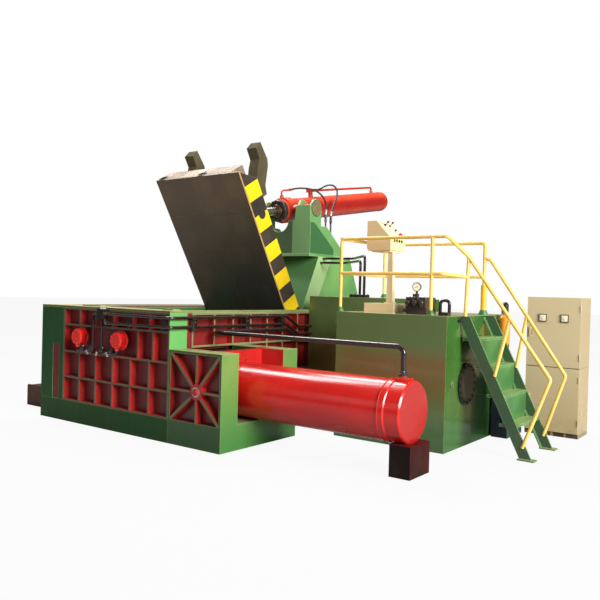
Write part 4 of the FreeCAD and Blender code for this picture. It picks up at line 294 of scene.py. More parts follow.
# Yellow bands across the lid's side: one spacing and width, and none close to its hinge or its end.
BAND_START = 0.205
BAND_SPACING = 0.4475
BAND_WIDTH = 0.230
BANDS_FROM = 0.220
BANDS_TO = 2.242

# The green of painted shade on faces towards the operator.
NEAR_SHADE_GREEN = rgb(35, 70, 28)
POST_GREEN = rgb(104, 172, 92)


def enamel(name, base, shade, edge, near=NEAR_SHADE_GREEN, low_colour=None, gloss=0.32, edge_width=0.012,
           edge_share=0.75, top=rgb(176, 182, 124), top_share=0.5, coat=0.12, shine=0.5, over=None):
    """Brushed machine paint: cloudy, deeper low down, painted light and shade on faces towards the operator,
    dust with painted light on level ones, worn pale at its edges and dirty near the floor.
    """
    paint = Finish(name)
    cloud = paint.noise(1.3, 4.0)
    streaks = paint.noise(9.0, 4.0, RUNS)
    grime = paint.noise(5.0, 5.0)
    colour = paint.blotches(cloud, base, shade)
    if low_colour:
        colour = paint.mix(paint.span(paint.z + cloud * 0.3, 1.25, 0.15) * 0.9, colour, low_colour)
    colour = paint.mix(paint.span(streaks, 0.42, 0.75) * 0.35, colour, shade)
    # painted light and shade on the faces towards the operator, dust with painted light on level faces
    colour = paint.sides(colour, near, 0.9, top, top_share)
    dirt = paint.span(paint.z, 0.30, 0.0) * paint.span(grime, 0.35, 0.7) * 0.3
    colour = paint.mix(dirt, colour, rgb(70, 62, 45))
    patchy = paint.span(grime, 0.2, 0.55, 0.45, 1.0)
    colour = paint.worn(colour, edge, edge_width, patchy * edge_share)
    if over:
        colour = over(paint, colour, grime)
    paint.peel(streaks)
    return paint.finish_with(colour, paint.rough(streaks, gloss - 0.06, gloss + 0.14),
                             coat=coat, shine=shine)


def bare_liner(paint, colour, grime):
    """Bare rubbed steel on the floor liner, where bales are pressed."""
    steel = paint.blotches(grime, rgb(84, 70, 58), rgb(54, 46, 40), 0.35, 0.65)
    return paint.mix(paint.z > LINER_FOOT, colour, steel)


def red_plate_colour(paint):
    """Deep red boiler plate with maroon streaks and painted shade on its near faces, and the noise of those
    streaks.
    """
    cloud = paint.noise(2.2, 4.0)
    streaks = paint.noise(14.0, 5.0, PLATE_RUNS)
    colour = paint.blotches(cloud, rgb(150, 34, 28), rgb(112, 30, 28), 0.32, 0.7)
    colour = paint.mix(paint.span(streaks, 0.45, 0.8) * 0.6, colour, rgb(84, 30, 34))
    # painted shade: the plate between the ribs, facing the operator, turns maroon
    maroon = paint.toward(NEAR, 0.75, 0.95) * 0.72
    return paint.mix(maroon, colour, rgb(92, 30, 32)), streaks


def red_skin(paint, colour, streaks):
    """The brushed, half-gloss surface of the red walls and ribs."""
    paint.peel(streaks, 120.0, 0.5, 0.0015)
    return paint.finish_with(colour, paint.rough(streaks, 0.36, 0.55), coat=0.1)


def red_walls():
    """Red plate behind the ribs; the bare end of the near wall is green like the corner post."""
    paint = Finish("red_plate")
    colour, streaks = red_plate_colour(paint)
    colour = paint.mix(paint.inside(*CORNER_POST), colour, POST_GREEN)
    return red_skin(paint, colour, streaks)


def red_ribs(name, front_colour, side_colour=None, first_rib=None):
    """Red flat bars whose outer edges are brushed over in a dull green; the hub stays red."""
    paint = Finish(name)
    cloud = paint.noise(3.0, 4.0)
    streaks = paint.noise(16.0, 5.0, PLATE_RUNS)
    colour = paint.blotches(cloud, rgb(190, 40, 32), rgb(150, 34, 30), 0.32, 0.7)
    colour = paint.mix(paint.span(streaks, 0.45, 0.8) * 0.5, colour, rgb(104, 32, 32))
    hub = paint.disc(paint.x - HUB.x, paint.z - HUB.z, 0.1118)
    front = (paint.y < RIBS_NEAR) * (1.0 - hub)
    colour = paint.mix(front * paint.span(cloud, 0.2, 0.5, 0.7, 1.0), colour, front_colour)
    if side_colour:
        colour = paint.mix(paint.x > RIBS_RIGHT, colour, side_colour)
    if first_rib:
        beside_post = paint.inside(*FIRST_SIDE_RIB) * (paint.facing(NEAR) > 0.9)
        colour = paint.mix(beside_post, colour, first_rib)
    return red_skin(paint, colour, streaks)


def housing_paint():
    """The side ram's housing: green outside with painted shade on its near faces and dust with painted light
    on level ones, red in the ribbed panel and on the cross plate.
    """
    paint = Finish("housing_paint")
    cloud = paint.noise(1.6, 4.0)
    streaks = paint.noise(9.0, 4.0, RUNS)
    green = paint.blotches(cloud, rgb(118, 152, 76), rgb(96, 136, 68))
    green = paint.mix(paint.span(paint.z + cloud * 0.2, 1.05, 0.15), green, rgb(62, 118, 52))
    # painted shade on the near faces, dust with painted light on level faces
    green = paint.sides(green, NEAR_SHADE_GREEN, 0.9, rgb(186, 190, 128), 0.75)
    green = paint.worn(green, rgb(188, 206, 134), 0.012, 0.55)
    red, _ = red_plate_colour(paint)
    bright = paint.blotches(cloud, rgb(206, 40, 34), rgb(176, 36, 32))
    cheek = paint.inside(*CYLINDER_CHEEK) * (paint.facing(NEAR) > 0.9)
    colour = paint.mix(paint.inside(*RIBBED_PANEL), green, red)
    colour = paint.mix((paint.inside(*CROSS_PLATE) + cheek) > 0.5, colour, bright)
    paint.peel(streaks)
    return paint.finish_with(colour, paint.rough(streaks, 0.26, 0.46), coat=0.2)


def tank_paint(name):
    """Oil tank: bright glossy green to the right, a painted olive shade on the near face, and there a faint
    brown band that is a painted reflection of the red side cylinder.
    """
    paint = Finish(name)
    cloud = paint.noise(1.5, 4.0)
    streaks = paint.noise(7.0, 4.0, (1.0, 1.0, 0.14))
    colour = paint.blotches(cloud, rgb(60, 104, 40), rgb(48, 90, 36))
    colour = paint.mix(paint.span(paint.z + cloud * 0.4, 0.75, 0.1) * 0.6, colour, rgb(47, 94, 42))
    # painted olive shade on the near face, dust with painted light on top
    colour = paint.sides(colour, rgb(96, 118, 68), 1.0, rgb(216, 204, 154), 0.95)
    near = paint.toward(NEAR, 0.75, 0.95)
    # painted reflection: a faint brown band across the near face behind the red side cylinder
    band = paint.span(paint.z, 1.22, 1.0) * paint.span(paint.z, 0.42, 0.72) * near
    colour = paint.mix(band * paint.span(cloud, 0.2, 0.6, 0.35, 0.75), colour, rgb(128, 96, 58))
    colour = paint.mix(paint.span(paint.z, 0.55, 0.05) * near * 0.8, colour, rgb(58, 100, 56))
    colour = paint.worn(colour, rgb(172, 186, 122), 0.010, 0.6)
    paint.bump(streaks * 0.6 + cloud * 0.4, 0.004, 0.35)
    return paint.finish_with(colour, paint.rough(streaks, 0.16, 0.32), coat=0.3)


def gloss_red(name, base, shade, gloss):
    """Glossy red of the cylinders, with brush marks along them, and painted shade on their undersides and
    right-hand ends.
    """
    paint = Finish(name)
    cloud = paint.noise(2.0, 3.0)
    strokes = paint.noise(10.0, 4.0, STROKES)
    colour = paint.blotches(cloud, base, shade, 0.35, 0.7)
    # painted shade: darker red on the faces that look down
    colour = paint.mix(paint.toward(-UP, 0.05, 0.9) * 0.45, colour, rgb(96, 26, 24))
    # painted shade: darker red on the faces that look to the right
    colour = paint.mix(paint.toward(RIGHT, 0.8, 0.98) * 0.9, colour, rgb(158, 17, 14))
    colour = paint.worn(colour, rgb(236, 130, 100), 0.006, 0.4)
    paint.peel(strokes, 90.0, 0.4, 0.0015, 0.2)
    return paint.finish_with(colour, paint.rough(strokes, gloss, gloss + 0.14, 0.7), coat=0.12)


def worn_steel(name, base, shade, rough_low=0.4, rough_high=0.7, metal=0.55, nose=None):
    """Bare plate that scrap has rubbed, with scratches and stains; nose paints its near face."""
    steel = Finish(name)
    stains = steel.noise(1.6, 6.0)
    scratches = steel.noise(26.0, 5.0, SCRAPES, 0.7)
    colour = steel.blotches(stains, base, shade, 0.35, 0.65)
    colour = steel.mix(steel.span(scratches, 0.5, 0.8) * 0.5, colour, rgb(110, 92, 74))
    if nose:
        paint = steel.blotches(scratches, nose[0], nose[1], 0.4, 0.7)
        colour = steel.mix(steel.toward(NEAR, 0.8, 0.95), colour, paint)
    steel.bump(scratches * 0.5 + stains * 0.5, 0.003, 0.6)
    return steel.finish_with(colour, steel.rough(scratches, rough_low, rough_high, 0.8), metal)


def bright_steel(name, base=rgb(200, 196, 188), rough=0.22):
    """Turned or plated bar with fine rings."""
    steel = Finish(name)
    rings = steel.noise(240.0, 2.0, TURNS)
    colour = steel.mix(steel.span(rings, 0.35, 0.65) * 0.4, base, rgb(120, 116, 110))
    steel.bump(rings, 0.0004, 0.4)
    return steel.finish_with(colour, steel.rough(rings, rough, rough + 0.15, 0.7), 1.0)


def black_gloss(name, base, shade, gloss):
    """Thick black enamel on pipes and blocks, with dust and a pale pink painted highlight on top."""
    paint = Finish(name)
    cloud = paint.noise(7.0, 3.0)
    colour = paint.blotches(cloud, base, shade, 0.35, 0.7)
    # dust and painted highlight: the upward faces turn pale pink
    colour = paint.mix(paint.toward(UP, 0.5, 1.0) * 0.22, colour, rgb(176, 140, 132))
    colour = paint.worn(colour, rgb(120, 100, 88), 0.005, 0.35)
    paint.bump(paint.noise(110.0, 2.0), 0.0008, 0.4)
    return paint.finish_with(colour, paint.rough(cloud, gloss, gloss + 0.12, 0.7), coat=0.4)


def along_lid(finish):
    """Distance from the hinge along the lid, and depth across it from its middle."""
    back = finish.y - LID_HINGE.y
    high = finish.z - LID_HINGE.z
    return back * LID_AXIS.y + high * LID_AXIS.z, back * LID_UP.y + high * LID_UP.z


def hazard_sides():
    """The lid: dark worn plate, with yellow and black bands across its right-hand side."""
    paint = Finish("lid_worn_plate")
    along, deep = along_lid(paint)
    grime = paint.noise(3.0, 6.0)
    scuffs = paint.noise(18.0, 5.0, (1.0, 0.4, 0.4), 0.7)
    dark = paint.blotches(grime, rgb(66, 58, 46), rgb(44, 40, 33))
    band = ((along - BAND_START) % BAND_SPACING) < BAND_WIDTH
    side = (paint.x > LID_SIDE) * band * (along < BANDS_TO) * (along > BANDS_FROM)
    yellow = paint.mix(paint.span(scuffs, 0.5, 0.8) * 0.5, rgb(250, 212, 10), rgb(206, 160, 20))
    colour = paint.mix(side * paint.span(grime, 0.72, 0.8, 1.0, 0.7), dark, yellow)
    # the slanted end is rubbed pale where scrap slides over it
    slanted = (along + deep * LID_LEAN - LID_SLANT) > -BEAM_LAP
    pale = paint.blotches(scuffs, rgb(200, 184, 160), rgb(112, 94, 74), 0.35, 0.7)
    leftward = paint.span(paint.x, 1.05, -0.2, 0.25, 1.0)
    colour = paint.mix(slanted * leftward * paint.span(grime, 0.3, 0.6, 0.5, 1.0), colour, pale)
    colour = paint.worn(colour, rgb(150, 120, 86), 0.010, 0.6)
    paint.bump(scuffs * 0.5 + grime * 0.5, 0.003)
    return paint.finish_with(colour, paint.rough(scuffs, 0.42, 0.7, 0.8), 0.15)


def wear_plates():
    """Rubbed plates under the lid, brown at the top and near black below, with pale sides."""
    steel = Finish("lid_wear_steel")
    along, _ = along_lid(steel)
    stains = steel.noise(1.8, 7.0)
    scratches = steel.noise(30.0, 5.0, (1.0, 0.25, 0.12), 0.75)
    high = steel.span(along + (stains - 0.5) * 1.4, 0.9, 2.2)
    colour = steel.mix(high, rgb(78, 78, 71), rgb(112, 94, 74))
    blotches = steel.cells(2.6, (1.0, 1.0, 0.8))
    colour = steel.mix(steel.span(blotches, 0.25, 0.6) * 0.25, colour, rgb(46, 44, 40))
    colour = steel.mix(steel.span(scratches, 0.52, 0.8) * 0.45, colour, rgb(124, 108, 86))
    colour = steel.mix(steel.x > PLATE_SIDE, colour, rgb(196, 158, 108))
    colour = steel.worn(colour, rgb(150, 110, 76), 0.008, 0.75)
    steel.bump(scratches * 0.6 + stains * 0.4, 0.004, 0.7)
    return steel.finish_with(colour, steel.rough(scratches, 0.42, 0.66, 0.8), 0.3)


def rim_paint():
    """Top frame of the pressing box: pale dust with painted light on its level faces, painted shade on its
    near faces, worn pale at its edges, brown with rust beyond the opening.
    """
    paint = Finish("rim_enamel")
    cloud = paint.noise(1.8, 5.0)
    chips = paint.noise(14.0, 5.0)
    colour = paint.blotches(cloud, rgb(122, 146, 82), rgb(100, 124, 70))
    # painted shade on the near faces, dust with painted light on level faces
    colour = paint.sides(colour, rgb(78, 80, 42), 0.9, rgb(204, 192, 134), 0.9)
    beyond = paint.span(paint.y + (cloud - 0.5) * 1.2, -1.2, -0.7) * (paint.x < RIM_OPENING)
    rust = paint.blotches(chips, rgb(116, 82, 58), rgb(92, 60, 46), 0.35, 0.65)
    colour = paint.mix(beyond * 0.85, colour, rust)
    patchy = paint.span(chips, 0.2, 0.5, 0.4, 1.0)
    colour = paint.worn(colour, rgb(214, 204, 146), 0.010, patchy * 0.75)
    paint.peel(chips)
    return paint.finish_with(colour, paint.rough(chips, 0.34, 0.5, 0.7), coat=0.1)


def ear_paint():
    """Trunnion ears: light green fronts from painted light, and painted shade on the darker plate between
    them and on the deep green gussets and webs.
    """
    paint = Finish("ear_enamel")
    cloud = paint.noise(1.8, 4.0)
    streaks = paint.noise(9.0, 4.0, RUNS)
    colour = paint.blotches(cloud, rgb(112, 164, 94), rgb(88, 142, 80))
    # painted light on the fronts facing the operator, dust with painted light on level faces
    colour = paint.sides(colour, rgb(124, 166, 108), 0.95, rgb(196, 208, 152), 0.6)
    # painted shade: the plate between the ears, facing the operator, is darker
    between = paint.inside(*EAR_FRONTS) * (paint.facing(NEAR) > 0.8)
    colour = paint.mix(between * 0.85, colour, rgb(64, 84, 56))
    # painted shade: the gussets and webs that face right are deep greens
    outward = paint.facing(RIGHT) > 0.8
    colour = paint.mix(outward * paint.inside(*GUSSETS), colour, rgb(54, 104, 58))
    colour = paint.mix(outward * paint.inside(*EAR_WEB), colour, rgb(60, 108, 60))
    colour = paint.worn(colour, rgb(190, 220, 160), 0.016, 0.85)
    paint.peel(streaks)
    return paint.finish_with(colour, paint.rough(streaks, 0.3, 0.48), coat=0.2)


def tower_paint():
    """The stand under the ears: fresh green sides, a front darker with painted shade, pale strip on each
    front corner.
    """
    paint = Finish("tower_enamel")
    cloud = paint.noise(1.4, 4.0)
    streaks = paint.noise(9.0, 4.0, RUNS)
    colour = paint.blotches(cloud, rgb(116, 166, 90), rgb(92, 146, 80))
    colour = paint.mix(paint.span(paint.z + cloud * 0.3, 2.1, 1.3) * 0.8, colour, rgb(84, 142, 74))
    # painted shade on the front faces, dust with painted light on level faces
    colour = paint.sides(colour, rgb(80, 124, 72), 0.9, rgb(190, 198, 140), 0.5)
    strip = paint.inside(*FRONT_CORNER) * (paint.facing(RIGHT) > 0.8)
    colour = paint.mix(strip, colour, rgb(156, 190, 128))
    colour = paint.worn(colour, rgb(200, 220, 160), 0.012, 0.75)
    paint.peel(streaks)
    return paint.finish_with(colour, paint.rough(streaks, 0.28, 0.46), coat=0.2)


def cover_paint():
    """Manhole cover: a black bolted rim round a grey-brown plate."""
    paint = Finish("cover_black")
    cloud = paint.noise(5.0, 4.0)
    rim = paint.blotches(cloud, rgb(26, 22, 20), rgb(16, 14, 13), 0.35, 0.7)
    plate = paint.blotches(cloud, rgb(66, 60, 46), rgb(50, 46, 36), 0.35, 0.7)
    middle = paint.disc(paint.y - COVER_MIDDLE.y, paint.z - COVER_MIDDLE.z, 0.170)
    colour = paint.worn(paint.mix(middle, rim, plate), rgb(96, 86, 70), 0.005, 0.35)
    paint.bump(paint.noise(110.0, 2.0), 0.0008, 0.4)
    return paint.finish_with(colour, paint.rough(cloud, 0.4, 0.52, 0.7), coat=0.15)


def rail_paint():
    """Ochre pipe rail whose posts are green at the foot."""
    paint = Finish("rail_ochre")
    cloud = paint.noise(4.0, 3.0)
    chips = paint.noise(40.0, 4.0)
    colour = paint.blotches(cloud, rgb(252, 210, 116), rgb(236, 190, 88), 0.35, 0.7)
    colour = paint.mix(paint.span(chips, 0.66, 0.74) * 0.5, colour, rgb(150, 118, 56))
    colour = paint.mix(paint.inside(*RAIL_SLEEVE), colour, rgb(240, 180, 30))
    foot = paint.span(paint.z, 1.63, 1.60) * paint.inside(*RAIL_FOOT)
    colour = paint.mix(foot * 0.85, colour, rgb(96, 140, 70))
    paint.bump(chips, 0.0008, 0.4)
    return paint.finish_with(colour, paint.rough(cloud, 0.32, 0.46, 0.7), coat=0.2)


def bottle_paint():
    """Orange gas bottle with a black head and a grey band under it, on dark arms."""
    paint = Finish("bottle_orange")
    cloud = paint.noise(6.0, 3.0)
    colour = paint.blotches(cloud, rgb(240, 158, 50), rgb(206, 112, 34), 0.35, 0.7)
    colour = paint.mix(paint.z > BOTTLE_BAND, colour, rgb(150, 140, 124))
    colour = paint.mix(paint.z > BOTTLE_HEAD, colour, rgb(40, 34, 34))
    colour = paint.mix(paint.inside(*BOTTLE_ARMS), colour, rgb(58, 52, 46))
    paint.bump(paint.noise(90.0, 2.0), 0.001, 0.3)
    return paint.finish_with(colour, paint.rough(cloud, 0.24, 0.36, 0.7), coat=0.3)


def hose_rubber():
    """Hose cover with a fine cloth mark."""
    skin = Finish("hose_rubber")
    cloud = skin.noise(12.0, 3.0)
    colour = skin.blotches(cloud, rgb(58, 40, 34), rgb(38, 28, 26), 0.35, 0.7)
    skin.bump(skin.cells(380.0), 0.0004, 0.4)
    return skin.finish_with(colour, skin.rough(cloud, 0.42, 0.58, 0.7))


def cabinet_marks(sheet, colour):
    """The cabinet is browner low down, with painted shade in a browner tone on its right-hand faces, a dark
    plinth and a gap between its doors.
    """
    colour = sheet.mix(sheet.span(sheet.z, 1.1, 0.1) * 0.55, colour, rgb(176, 152, 100))
    marks = sheet.noise(5.0, 2.0, (1.0, 0.2, 0.2))
    plinth = sheet.blotches(marks, rgb(52, 44, 34), rgb(176, 150, 70), 0.52, 0.56)
    colour = sheet.mix(sheet.z < PLINTH_TOP, colour, plinth)
    colour = sheet.mix(sheet.inside(*DOOR_GAP), colour, rgb(96, 82, 60))
    # painted shade: the faces that look to the right are browner and darker
    return sheet.mix((sheet.facing(RIGHT) > 0.8) * 0.75, colour, rgb(168, 150, 112))


def sheet_paint(name, base, shade, edge, near, gloss=0.42, over=None):
    """Powder-coated sheet metal with a fine texture, painted shade on the faces towards the operator and
    some dirt near the floor.
    """
    sheet = Finish(name)
    cloud = sheet.noise(2.5, 3.0)
    colour = sheet.blotches(cloud, base, shade, 0.35, 0.7)
    # painted shade on the faces towards the operator
    colour = sheet.mix(sheet.toward(NEAR, 0.75, 0.95), colour, near)
    if over:
        colour = over(sheet, colour)
    dirt = sheet.span(sheet.z, 0.35, 0.0) * sheet.span(sheet.noise(8.0, 5.0), 0.4, 0.7) * 0.35
    colour = sheet.mix(dirt, colour, rgb(120, 104, 78))
    colour = sheet.worn(colour, edge, 0.005, 0.5)
    sheet.bump(sheet.noise(420.0, 2.0), 0.0004)
    return sheet.finish_with(colour, sheet.rough(cloud, gloss, gloss + 0.12, 0.7), coat=0.1)


def plastic(name, base, gloss=0.25):
    """Moulded plastic of knobs, buttons and lamps."""
    body = Finish(name)
    cloud = body.noise(60.0, 2.0)
    dark = tuple(channel * 0.75 for channel in base[:3]) + (1.0,)
    colour = body.mix(body.span(cloud, 0.4, 0.7) * 0.4, base, dark)
    body.bump(body.noise(700.0, 1.0), 0.0002, 0.3)
    return body.finish_with(colour, body.rough(cloud, gloss, gloss + 0.1, 0.7), coat=0.2)


# In the finishes below, near= is the colour of painted light and shade on the faces towards the operator,
# and top= the pale dust with painted light on level faces.
BASE_GREEN = enamel("base_enamel", rgb(58, 104, 48), rgb(46, 88, 42), rgb(86, 116, 66),
                    near=rgb(36, 72, 34), top=rgb(150, 156, 104), gloss=0.5, edge_share=0.4,
                    coat=0.0, shine=0.2, over=bare_liner)
GREEN = enamel("green_enamel", rgb(84, 146, 78), rgb(62, 122, 62), rgb(160, 194, 120),
               low_colour=rgb(52, 112, 54))
GATE_GREEN = enamel("gate_enamel", rgb(70, 126, 66), rgb(52, 104, 56), rgb(150, 178, 110),
                    near=rgb(34, 72, 36), gloss=0.5, coat=0.0, shine=0.2)
GATE_STEEL = worn_steel("gate_plate_steel", rgb(62, 50, 42), rgb(40, 34, 30), 0.42, 0.66, 0.2,
                        nose=(rgb(126, 28, 26), rgb(96, 26, 26)))
STAIR_GREEN = enamel("stair_enamel", rgb(84, 148, 76), rgb(58, 118, 62), rgb(196, 216, 146),
                     near=rgb(62, 84, 62), edge_width=0.010, top=rgb(184, 196, 130), top_share=0.7)
RISER_GREEN = enamel("riser_enamel", rgb(72, 128, 64), rgb(56, 106, 54), rgb(140, 170, 110))
ARM_GREEN = enamel("dark_green_enamel", rgb(48, 100, 60), rgb(34, 76, 48), rgb(120, 160, 96))
HOOK_OLIVE = enamel("hook_enamel", rgb(98, 90, 66), rgb(68, 62, 46), rgb(120, 110, 82),
                    near=rgb(98, 92, 70), top=rgb(96, 90, 68), gloss=0.7, edge_share=0.4,
                    coat=0.0, shine=0.05)
RED_WALL = red_walls()
NEAR_RIBS = red_ribs("near_rib_paint", rgb(92, 84, 58), POST_GREEN)
SIDE_RIBS = red_ribs("side_rib_paint", rgb(92, 84, 58), rgb(134, 128, 90), rgb(112, 150, 76))
PANEL_RIBS = red_ribs("panel_rib_paint", rgb(98, 100, 62))
SIDE_RED = gloss_red("side_cylinder_red", rgb(216, 28, 20), rgb(198, 26, 20), 0.15)
LID_RED = gloss_red("lid_cylinder_red", rgb(224, 76, 40), rgb(200, 58, 34), 0.26)
LOCK_RED = gloss_red("lock_red", rgb(240, 34, 26), rgb(214, 28, 22), 0.3)
FOOT_RED = enamel("foot_enamel", rgb(70, 20, 16), rgb(36, 12, 11), rgb(84, 28, 22),
                  near=rgb(22, 13, 13), top=rgb(120, 26, 20), gloss=0.6, coat=0.0, shine=0.15)
BLACK = black_gloss("pipe_black", rgb(42, 28, 26), rgb(24, 17, 17), 0.15)
GLAND_BLACK = black_gloss("gland_black", rgb(52, 46, 44), rgb(34, 30, 30), 0.3)
VALVE_BLACK = black_gloss("valve_black", rgb(62, 50, 38), rgb(38, 32, 26), 0.4)
RAM_STEEL = worn_steel("scrap_worn_steel", rgb(62, 50, 42), rgb(40, 34, 30))
TABLE_STEEL = worn_steel("table_worn_steel", rgb(92, 60, 44), rgb(44, 40, 34))
BEAM_STEEL = worn_steel("lid_end_rubbed", rgb(190, 170, 142), rgb(124, 102, 80), 0.5, 0.75, 0.1)
CHROME = bright_steel("plated_rod")
TURNED = bright_steel("turned_pin", rgb(118, 112, 104), 0.34)
SILVER = bright_steel("crimped_silver", rgb(214, 210, 200), 0.3)
BRASS = bright_steel("fitting_brass", rgb(150, 112, 66), 0.32)
RAIL_OCHRE = rail_paint()
HOSE_RUBBER = hose_rubber()
MOTOR_BLUE = enamel("motor_blue", rgb(38, 54, 80), rgb(26, 40, 62), rgb(80, 96, 116),
                    near=rgb(28, 38, 58), top=rgb(60, 72, 90))
PIN_CAP = enamel("pin_cap_paint", rgb(132, 120, 84), rgb(104, 96, 66), rgb(170, 160, 120),
                 near=rgb(96, 92, 62), top=rgb(150, 140, 104))
DRAIN_PAINT = enamel("drain_paint", rgb(120, 128, 84), rgb(90, 96, 60), rgb(170, 176, 130))
CABINET_BEIGE = sheet_paint("cabinet_beige", rgb(206, 188, 148), rgb(198, 178, 138),
                            rgb(226, 208, 168), near=rgb(210, 192, 152), over=cabinet_marks)
DESK_CREAM = sheet_paint("desk_cream", rgb(255, 246, 168), rgb(252, 238, 158), rgb(255, 248, 196),
                         near=rgb(228, 198, 148))
STAND_CREAM = sheet_paint("desk_stand_cream", rgb(250, 240, 200), rgb(244, 232, 190),
                          rgb(252, 246, 220), near=rgb(228, 204, 160))
PANEL_CREAM = sheet_paint("desk_panel_cream", rgb(252, 240, 196), rgb(246, 230, 180),
                          rgb(255, 248, 220), near=rgb(240, 224, 180), gloss=0.34)
DIAL_CREAM = sheet_paint("dial_cream", rgb(244, 238, 206), rgb(236, 228, 190), rgb(250, 246, 226),
                         near=rgb(244, 238, 206), gloss=0.3)
METER_FRAME = plastic("meter_frame", rgb(96, 88, 74), 0.35)
LAMPS = [plastic("lamp_amber", rgb(232, 170, 40)), plastic("lamp_green", rgb(70, 130, 60)),
         plastic("lamp_red", rgb(196, 50, 34)), plastic("lamp_white", rgb(230, 224, 200)),
         plastic("lamp_yellow", rgb(236, 208, 70))]

NODE_FINISHES = {
    "base_frame": BASE_GREEN, "near_wall": RED_WALL, "side_wall": RED_WALL, "rear_wall": RED_WALL,
    "rim_frame": rim_paint(), "near_ribs": NEAR_RIBS, "side_ribs": SIDE_RIBS,
    "gate_housing": GATE_GREEN, "gate_plate": GATE_STEEL, "gate_cylinder": LOCK_RED,
    "side_housing": housing_paint(), "panel_ribs": PANEL_RIBS, "side_cylinder_barrel": SIDE_RED,
    "side_ram_head": RAM_STEEL, "side_ram_rod": CHROME, "main_housing": GREEN,
    "main_cylinder_barrel": SIDE_RED, "cylinder_feet": FOOT_RED, "main_ram_head": RAM_STEEL,
    "main_ram_rod": CHROME, "lid_frame": hazard_sides(), "lid_wear_plates": wear_plates(),
    "lid_hooks": HOOK_OLIVE, "lid_hinge_arms": ARM_GREEN, "lid_rod_pin": TURNED,
    "hinge_brackets": GREEN, "hinge_pin": TURNED, "lid_cylinder_barrel": LID_RED,
    "lid_cylinder_gland": GLAND_BLACK, "lid_cylinder_rod": CHROME, "tower_stand": tower_paint(),
    "trunnion_frame": ear_paint(), "lock_pin_left": TURNED, "lock_pin_right": TURNED,
    "lock_cylinders": LOCK_RED, "hydraulic_pipes": BLACK, "barrel_hoses": HOSE_RUBBER,
    "barrel_pipes": LID_RED, "discharge_table": TABLE_STEEL,
    "platform_tank": tank_paint("tank_enamel"), "rear_tank": tank_paint("rear_tank_enamel"),
    "manhole_cover": cover_paint(), "gas_bottle": bottle_paint(), "pump_motor": MOTOR_BLUE,
    "near_rail": RAIL_OCHRE, "far_rail": RAIL_OCHRE, "stairs": STAIR_GREEN,
    "desk_head": DESK_CREAM, "desk_stand": STAND_CREAM,
    "desk_button_1": plastic("button_red", rgb(150, 40, 36)),
    "desk_button_2": plastic("button_green", rgb(36, 84, 46)),
    "desk_button_3": plastic("button_black", rgb(40, 38, 38)),
    "desk_button_4": plastic("button_grey", rgb(64, 60, 56)),
    "desk_lever_left": plastic("lever_black", rgb(34, 32, 32)),
    "desk_lever_right": plastic("lever_brown", rgb(96, 60, 44)),
    "stop_knob": plastic("stop_red", rgb(206, 34, 28), 0.2), "valve_bank": VALVE_BLACK,
    "cabinet_case": CABINET_BEIGE, "cabinet_lower_door": CABINET_BEIGE,
    "cabinet_upper_door": CABINET_BEIGE,
}

for name, material in NODE_FINISHES.items():
    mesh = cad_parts[name].data
    mesh.materials.clear()
    mesh.materials.append(material)


# ---------------------------------------------------------------- ways to make a piece


def placed(place, axis, roll=0.0):
    """The frame of a piece whose own Z runs along an axis from a place."""
    turn = Vector(axis).to_track_quat("Z", "Y").to_matrix().to_4x4()
    return Matrix.Translation(place) @ turn @ Matrix.Rotation(roll, 4, "Z")


def spun(profile, steps=24):
    """A turned shape, from (radius, height) pairs about Z."""
    shape = bmesh.new()
    corners = [shape.verts.new((radius, 0.0, height)) for radius, height in profile]
    edges = [shape.edges.new(pair) for pair in zip(corners, corners[1:])]
    bmesh.ops.spin(shape, geom=corners + edges, cent=(0.0, 0.0, 0.0), axis=(0.0, 0.0, 1.0),
                   angle=math.tau, steps=steps, use_merge=True)
    bmesh.ops.remove_doubles(shape, verts=shape.verts[:], dist=0.000001)
    return shape


def ring(inner, outer, low, high, steps=24):
    """A flat-sided ring about Z, with softened outer corners."""
    soft = min(outer - inner, high - low) * 0.22
    return spun([(inner, low), (outer - soft, low), (outer, low + soft), (outer, high - soft),
                 (outer - soft, high), (inner, high), (inner, low)], steps)


def prism(outline, low, high, chamfer=0.0):
    """An outline of (x, y) pairs raised along Z, with its edges bevelled."""
    shape = bmesh.new()
    face = shape.faces.new([shape.verts.new((x, y, low)) for x, y in outline])
    raised = bmesh.ops.extrude_face_region(shape, geom=[face])
    moved = [item for item in raised["geom"] if isinstance(item, bmesh.types.BMVert)]
    bmesh.ops.translate(shape, verts=moved, vec=(0.0, 0.0, high - low))
    if chamfer:
        bmesh.ops.bevel(shape, geom=shape.edges[:], offset=chamfer, offset_type="OFFSET",
                        segments=2, profile=0.5, affect="EDGES", material=-1)
    return shape


def rectangle(left, low, right, high):
    """A rectangle's outline, from its lowest and highest corners."""
    return [(left, low), (right, low), (right, high), (left, high)]


def pointer(half, foot, tip_half, tip):
    """The outline of a needle or tick that stands up along Y."""
    return [(-half, foot), (half, foot), (tip_half, tip), (-tip_half, tip)]


def hexagon(radius):
    """A hexagon's outline, from its middle to a corner."""
    return [(radius * math.cos(math.pi * k / 3), radius * math.sin(math.pi * k / 3))
            for k in range(6)]


def slab(low, high, chamfer=0.002):
    """A bevelled plate between two corners."""
    return prism(rectangle(low[0], low[1], high[0], high[1]), low[2], high[2], chamfer)


def copies(shape, frames):
    """A shape repeated at each frame."""
    mesh = bpy.data.meshes.new("part")
    shape.to_mesh(mesh)
    shape.free()
    whole = bmesh.new()
    for place in frames:
        one = mesh.copy()
        one.transform(place)
        whole.from_mesh(one)
        bpy.data.meshes.remove(one)
    bpy.data.meshes.remove(mesh)
    return whole


def joined(*shapes):
    """Several shapes made one."""
    whole = bmesh.new()
    for shape in shapes:
        mesh = bpy.data.meshes.new("part")
        shape.to_mesh(mesh)
        shape.free()
        whole.from_mesh(mesh)
        bpy.data.meshes.remove(mesh)
    return whole


